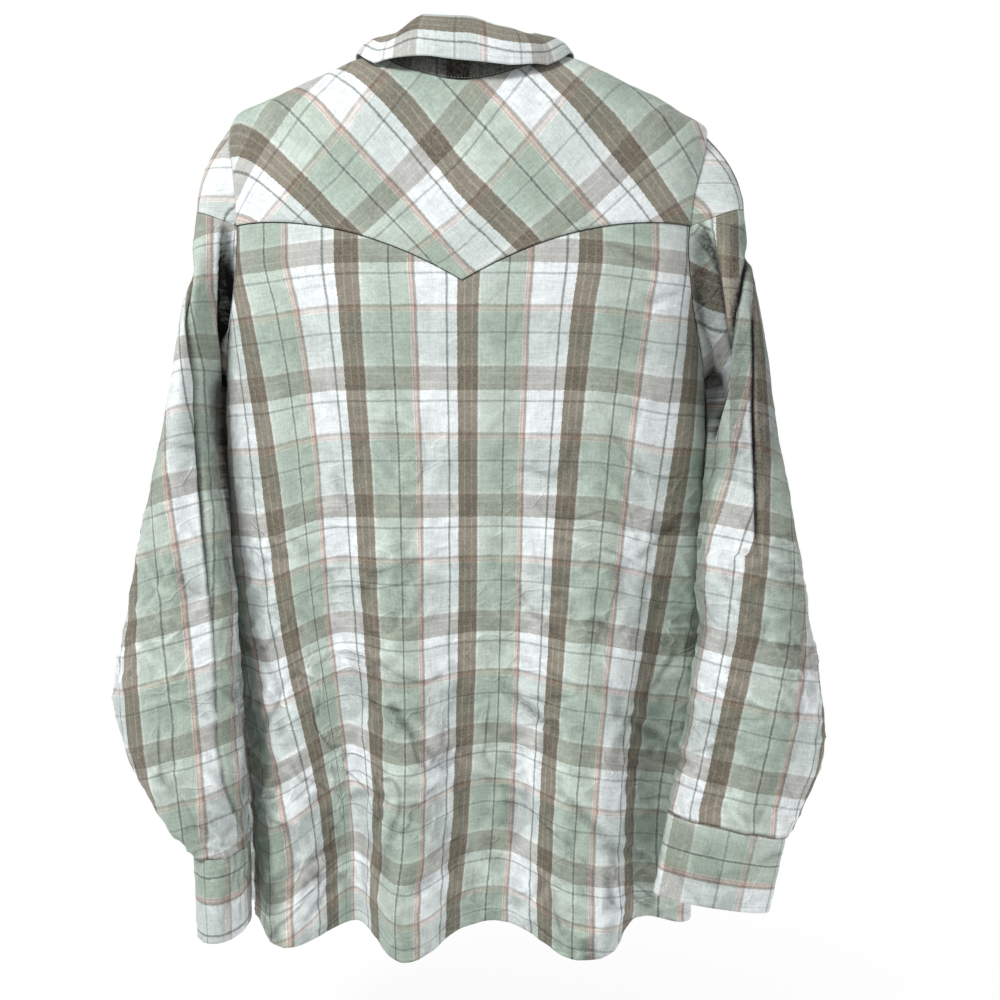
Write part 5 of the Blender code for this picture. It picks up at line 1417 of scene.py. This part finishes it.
def sew(name, rows):
    """Rows of stitches on a piece, joined into one mesh; a row is an edge and its inset."""
    verts, faces = [], []
    for edge, inset in rows:
        line, out = beside_edge(name, edge, inset * MM)
        gone = np.concatenate([[0], np.cumsum(np.linalg.norm(np.diff(line, axis=0), axis=1))])
        for at in np.arange(STITCH_STEP, gone[-1] - STITCH_STEP, STITCH_STEP):
            place, ahead, up = (
                np.array([np.interp(d, gone, part[:, i]) for i in range(3)])
                for d, part in ((at, line), (at + 0.3 * MM, line), (at, out))
            )
            way = unit(ahead - place)
            wide = np.cross(up, way)
            first = len(verts)
            verts += [place + way * STITCH_LONG / 2, place + wide * STITCH_WIDE / 2,
                      place - way * STITCH_LONG / 2, place - wide * STITCH_WIDE / 2, place + up * STITCH_HIGH]
            faces += [(first + a, first + (a + 1) % 4, first + 4) for a in range(4)]
    mesh = bpy.data.meshes.new(name + "_thread")
    mesh.from_pydata(np.array(verts).tolist(), [], faces)
    mesh.materials.append(thread)
    mesh.shade_smooth()
    piece = bpy.data.objects.new(name + "_thread", mesh)
    bpy.context.scene.collection.objects.link(piece)
    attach(piece, "root")
    stitching[name] = [piece]
    return len(faces) // 4


stitching, count = {}, 0
for name, rows in {
    "back_yoke_panel": [("b", 2), ("l", 2), ("r", 2)],
    "front_yoke_panel_left": [("b", 2)], "front_yoke_panel_right": [("b", 2)],
    "back_panel": [("b", 7)], "front_panel_left": [("b", 7)], "front_panel_right": [("b", 7)],
    "snap_band_top": [("l", 5), ("r", 5)], "snap_band_under": [("l", 5), ("r", 5)],
    "sleeve_panel_left": [("t", 2.5)], "sleeve_panel_right": [("t", 2.5)],
    "cuff_panel_left": [("t", 5), ("b", 5)], "cuff_panel_right": [("t", 5), ("b", 5)],
    "collar_stand_panel": [("b", 2.5), ("t", 3)], "collar_fall_panel": [("b", 6)],
    "placket_left": [("l", 1.5), ("r", 1.5)], "placket_right": [("l", 1.5), ("r", 1.5)],
}.items():
    count += sew(name, rows)
print("stitches:", count)

# %% [markdown]
# ## Pearl snaps
#
# A western snap is a thin metal ring that holds a low dome of pearl. Both are turned
# shapes, so each is one profile spun round the snap's own axis.

# %% Pearl and metal
def pearl_material():
    material = bpy.data.materials.new("pearl")
    nodes = Nodes(material)
    place = nodes.add("TexCoord").node.outputs["Generated"]
    cloud = nodes.add("TexNoise", {"Vector": place, "Scale": 2.2, "Detail": 3.0, "Distortion": 1.2})
    ramp = nodes.add("ValToRGB", {0: cloud}).node
    ramp.color_ramp.elements[0].position, ramp.color_ramp.elements[1].position = 0.35, 0.7
    ramp.color_ramp.elements[0].color = linear((214, 210, 202))
    ramp.color_ramp.elements[1].color = linear((240, 240, 238))
    nodes.tree.links.new(ramp.outputs[0], nodes.shader.inputs["Base Color"])
    nodes.shader.inputs["Roughness"].default_value = 0.16
    nodes.shader.inputs["Coat Weight"].default_value = 0.6
    return material


def metal_material():
    material = bpy.data.materials.new("snap_metal")
    nodes = Nodes(material)
    place = nodes.add("TexCoord").node.outputs["Generated"]
    rub = nodes.add("TexNoise", {"Vector": place, "Scale": 9.0, "Detail": 2.0})
    rough = nodes.math("MULTIPLY_ADD", rub, 0.2, 0.2)
    nodes.tree.links.new(rough, nodes.shader.inputs["Roughness"])
    nodes.shader.inputs["Base Color"].default_value = linear((196, 194, 188))
    nodes.shader.inputs["Metallic"].default_value = 1.0
    return material


pearl, snap_metal = pearl_material(), metal_material()

# %% The snaps
SNAP_PROFILE = [      # distance from the axis and height in mm, and whether it is pearl
    (0.0, 0.0, 0), (5.0, 0.0, 0), (5.5, 0.25, 0), (5.6, 0.6, 0), (5.4, 1.1, 0),
    (5.0, 1.35, 0), (4.65, 1.25, 0), (4.5, 1.0, 1), (4.4, 1.35, 1), (3.9, 1.8, 1),
    (3.0, 2.25, 1), (2.0, 2.5, 1), (1.0, 2.62, 1), (0.0, 2.65, 1),
]
SNAP_SIDES = 40


def snap_axis(node, centre):
    """The middle of a snap's back and the way it faces, away from a middle point."""
    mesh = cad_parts[node].data
    verts = np.array([v.co for v in mesh.vertices])
    middle = verts.mean(axis=0)
    _, _, axes = np.linalg.svd(verts - middle)
    out = axes[2] if axes[2] @ (middle - centre) > 0 else -axes[2]
    heights = (verts - middle) @ out
    return middle + out * heights.min(), out


def add_snap(node, centre):
    place, out = snap_axis(node, centre)
    side = unit(np.cross(out, [0, 0, 1]))
    up = np.cross(side, out)
    turn = np.linspace(0, 2 * math.pi, SNAP_SIDES, endpoint=False)[:, None]
    verts, faces = [], []
    for wide, high, _ in SNAP_PROFILE:
        flat = (side * np.cos(turn) + up * np.sin(turn)) * wide * MM
        verts.append(place + out * high * MM + flat)
    for i in range(len(SNAP_PROFILE) - 1):
        for k in range(SNAP_SIDES):
            a, b = i * SNAP_SIDES + k, i * SNAP_SIDES + (k + 1) % SNAP_SIDES
            faces.append((a, b, b + SNAP_SIDES, a + SNAP_SIDES))
    mesh = bpy.data.meshes.new(node + "_pearl")
    mesh.from_pydata(np.concatenate(verts).tolist(), [], faces)
    mesh.materials.append(snap_metal)
    mesh.materials.append(pearl)
    for i in range(len(SNAP_PROFILE) - 1):
        for k in range(SNAP_SIDES):
            mesh.polygons[i * SNAP_SIDES + k].material_index = SNAP_PROFILE[i][2]
    work = bmesh.new()
    work.from_mesh(mesh)
    bmesh.ops.remove_doubles(work, verts=work.verts, dist=1e-6)
    bmesh.ops.recalc_face_normals(work, faces=work.faces)
    work.to_mesh(mesh)
    work.free()
    mesh.shade_smooth()
    piece = bpy.data.objects.new(node + "_pearl", mesh)
    bpy.context.scene.collection.objects.link(piece)
    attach(piece, "root")
    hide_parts(node)


for n in range(1, 7):
    add_snap(f"snap_front_{n}", np.array([0, 0, -0.4]))
for node in ("snap_stand_cap", "snap_stand_socket"):
    add_snap(node, np.array([0, 0, 0.03]))
for side, word in SIDES:
    middle = np.array([side * 0.222, -0.1, -0.74])
    for n in (1, 2):
        add_snap(f"snap_cuff_{word}_{n}", middle)
print("snaps:", 12)

# %% [markdown]
# ## What was cut
#
# Every panel is a sheet of cloth with a flat cut, whose width and length are measured
# along its threads. Here the areas of all the cuts are added up.

# %% The flat cuts
print("cloth, square metres:", round(sum(size[2] for size in declared.values()), 2))

# %% [markdown]
# ## Floor and light
#
# The shirt hangs a little above a plain pale floor, which fades into a white room.
# One broad light from above and in front shapes the folds, and the white room fills
# the shadows.

# %% The floor
floor_mesh = bpy.data.meshes.new("floor")
turn = np.linspace(0, 2 * math.pi, 96, endpoint=False)
rim = points(3 * np.cos(turn), 3 * np.sin(turn), 0 * turn - 0.97)
floor_mesh.from_pydata(rim.tolist(), [], [tuple(range(96))])
floor = bpy.data.objects.new("floor", floor_mesh)
bpy.context.scene.collection.objects.link(floor)
floor_paint = bpy.data.materials.new("floor_paint")
nodes = Nodes(floor_paint)
grain = nodes.add("TexNoise", {"Scale": 3.0})
nodes.tree.links.new(nodes.math("MULTIPLY_ADD", grain, 0.1, 0.8), nodes.shader.inputs["Roughness"])
place = nodes.add("TexCoord").node.outputs["Object"]
away = nodes.add("VectorMath", {0: place}, operation="LENGTH").node.outputs["Value"]
fade = nodes.add("MapRange", {"Value": away, "From Min": 0.2, "From Max": 1.3}, interpolation_type="SMOOTHSTEP")
paint = nodes.add("Mix", {0: fade, 6: (0.88, 0.88, 0.88, 1), 7: (0, 0, 0, 1)}, data_type="RGBA").node.outputs[2]
nodes.tree.links.new(paint, nodes.shader.inputs["Base Color"])
nodes.tree.links.new(nodes.math("MULTIPLY_ADD", fade, 0.62, 0.38), nodes.shader.inputs["Emission Strength"])
nodes.shader.inputs["Emission Color"].default_value = (1, 1, 1, 1)
nodes.shader.inputs["Specular IOR Level"].default_value = 0.0
floor_mesh.materials.append(floor_paint)

# %% The light
world = bpy.data.worlds.new("white_room")
bpy.context.scene.world = world
world.use_nodes = True
tree = world.node_tree
sky = tree.nodes["Background"]
path = tree.nodes.new("ShaderNodeLightPath")
strength = tree.nodes.new("ShaderNodeMix")
strength.data_type = "FLOAT"
strength.inputs[2].default_value, strength.inputs[3].default_value = 0.38, 1.0
tree.links.new(path.outputs["Is Camera Ray"], strength.inputs[0])
tree.links.new(strength.outputs[0], sky.inputs["Strength"])
sky.inputs["Color"].default_value = (1, 1, 1, 1)


def add_light(name, place, target, size, power):
    lamp = bpy.data.lights.new(name, "AREA")
    lamp.shape, lamp.size, lamp.energy = "DISK", size, power
    light = bpy.data.objects.new(name, lamp)
    light.location = place
    light.rotation_euler = (Vector(target) - Vector(place)).to_track_quat("-Z", "Y").to_euler()
    bpy.context.scene.collection.objects.link(light)


add_light("key", (-1.1, -1.3, 1.1), (0, 0, -0.4), 0.6, 35)
add_light("fill", (1.6, -1.4, -0.2), (0, 0, -0.4), 1.4, 4)
add_light("behind", (0.4, 2.0, 0.8), (0, 0, -0.4), 1.4, 10)
bpy.context.scene.view_settings.view_transform = "Standard"
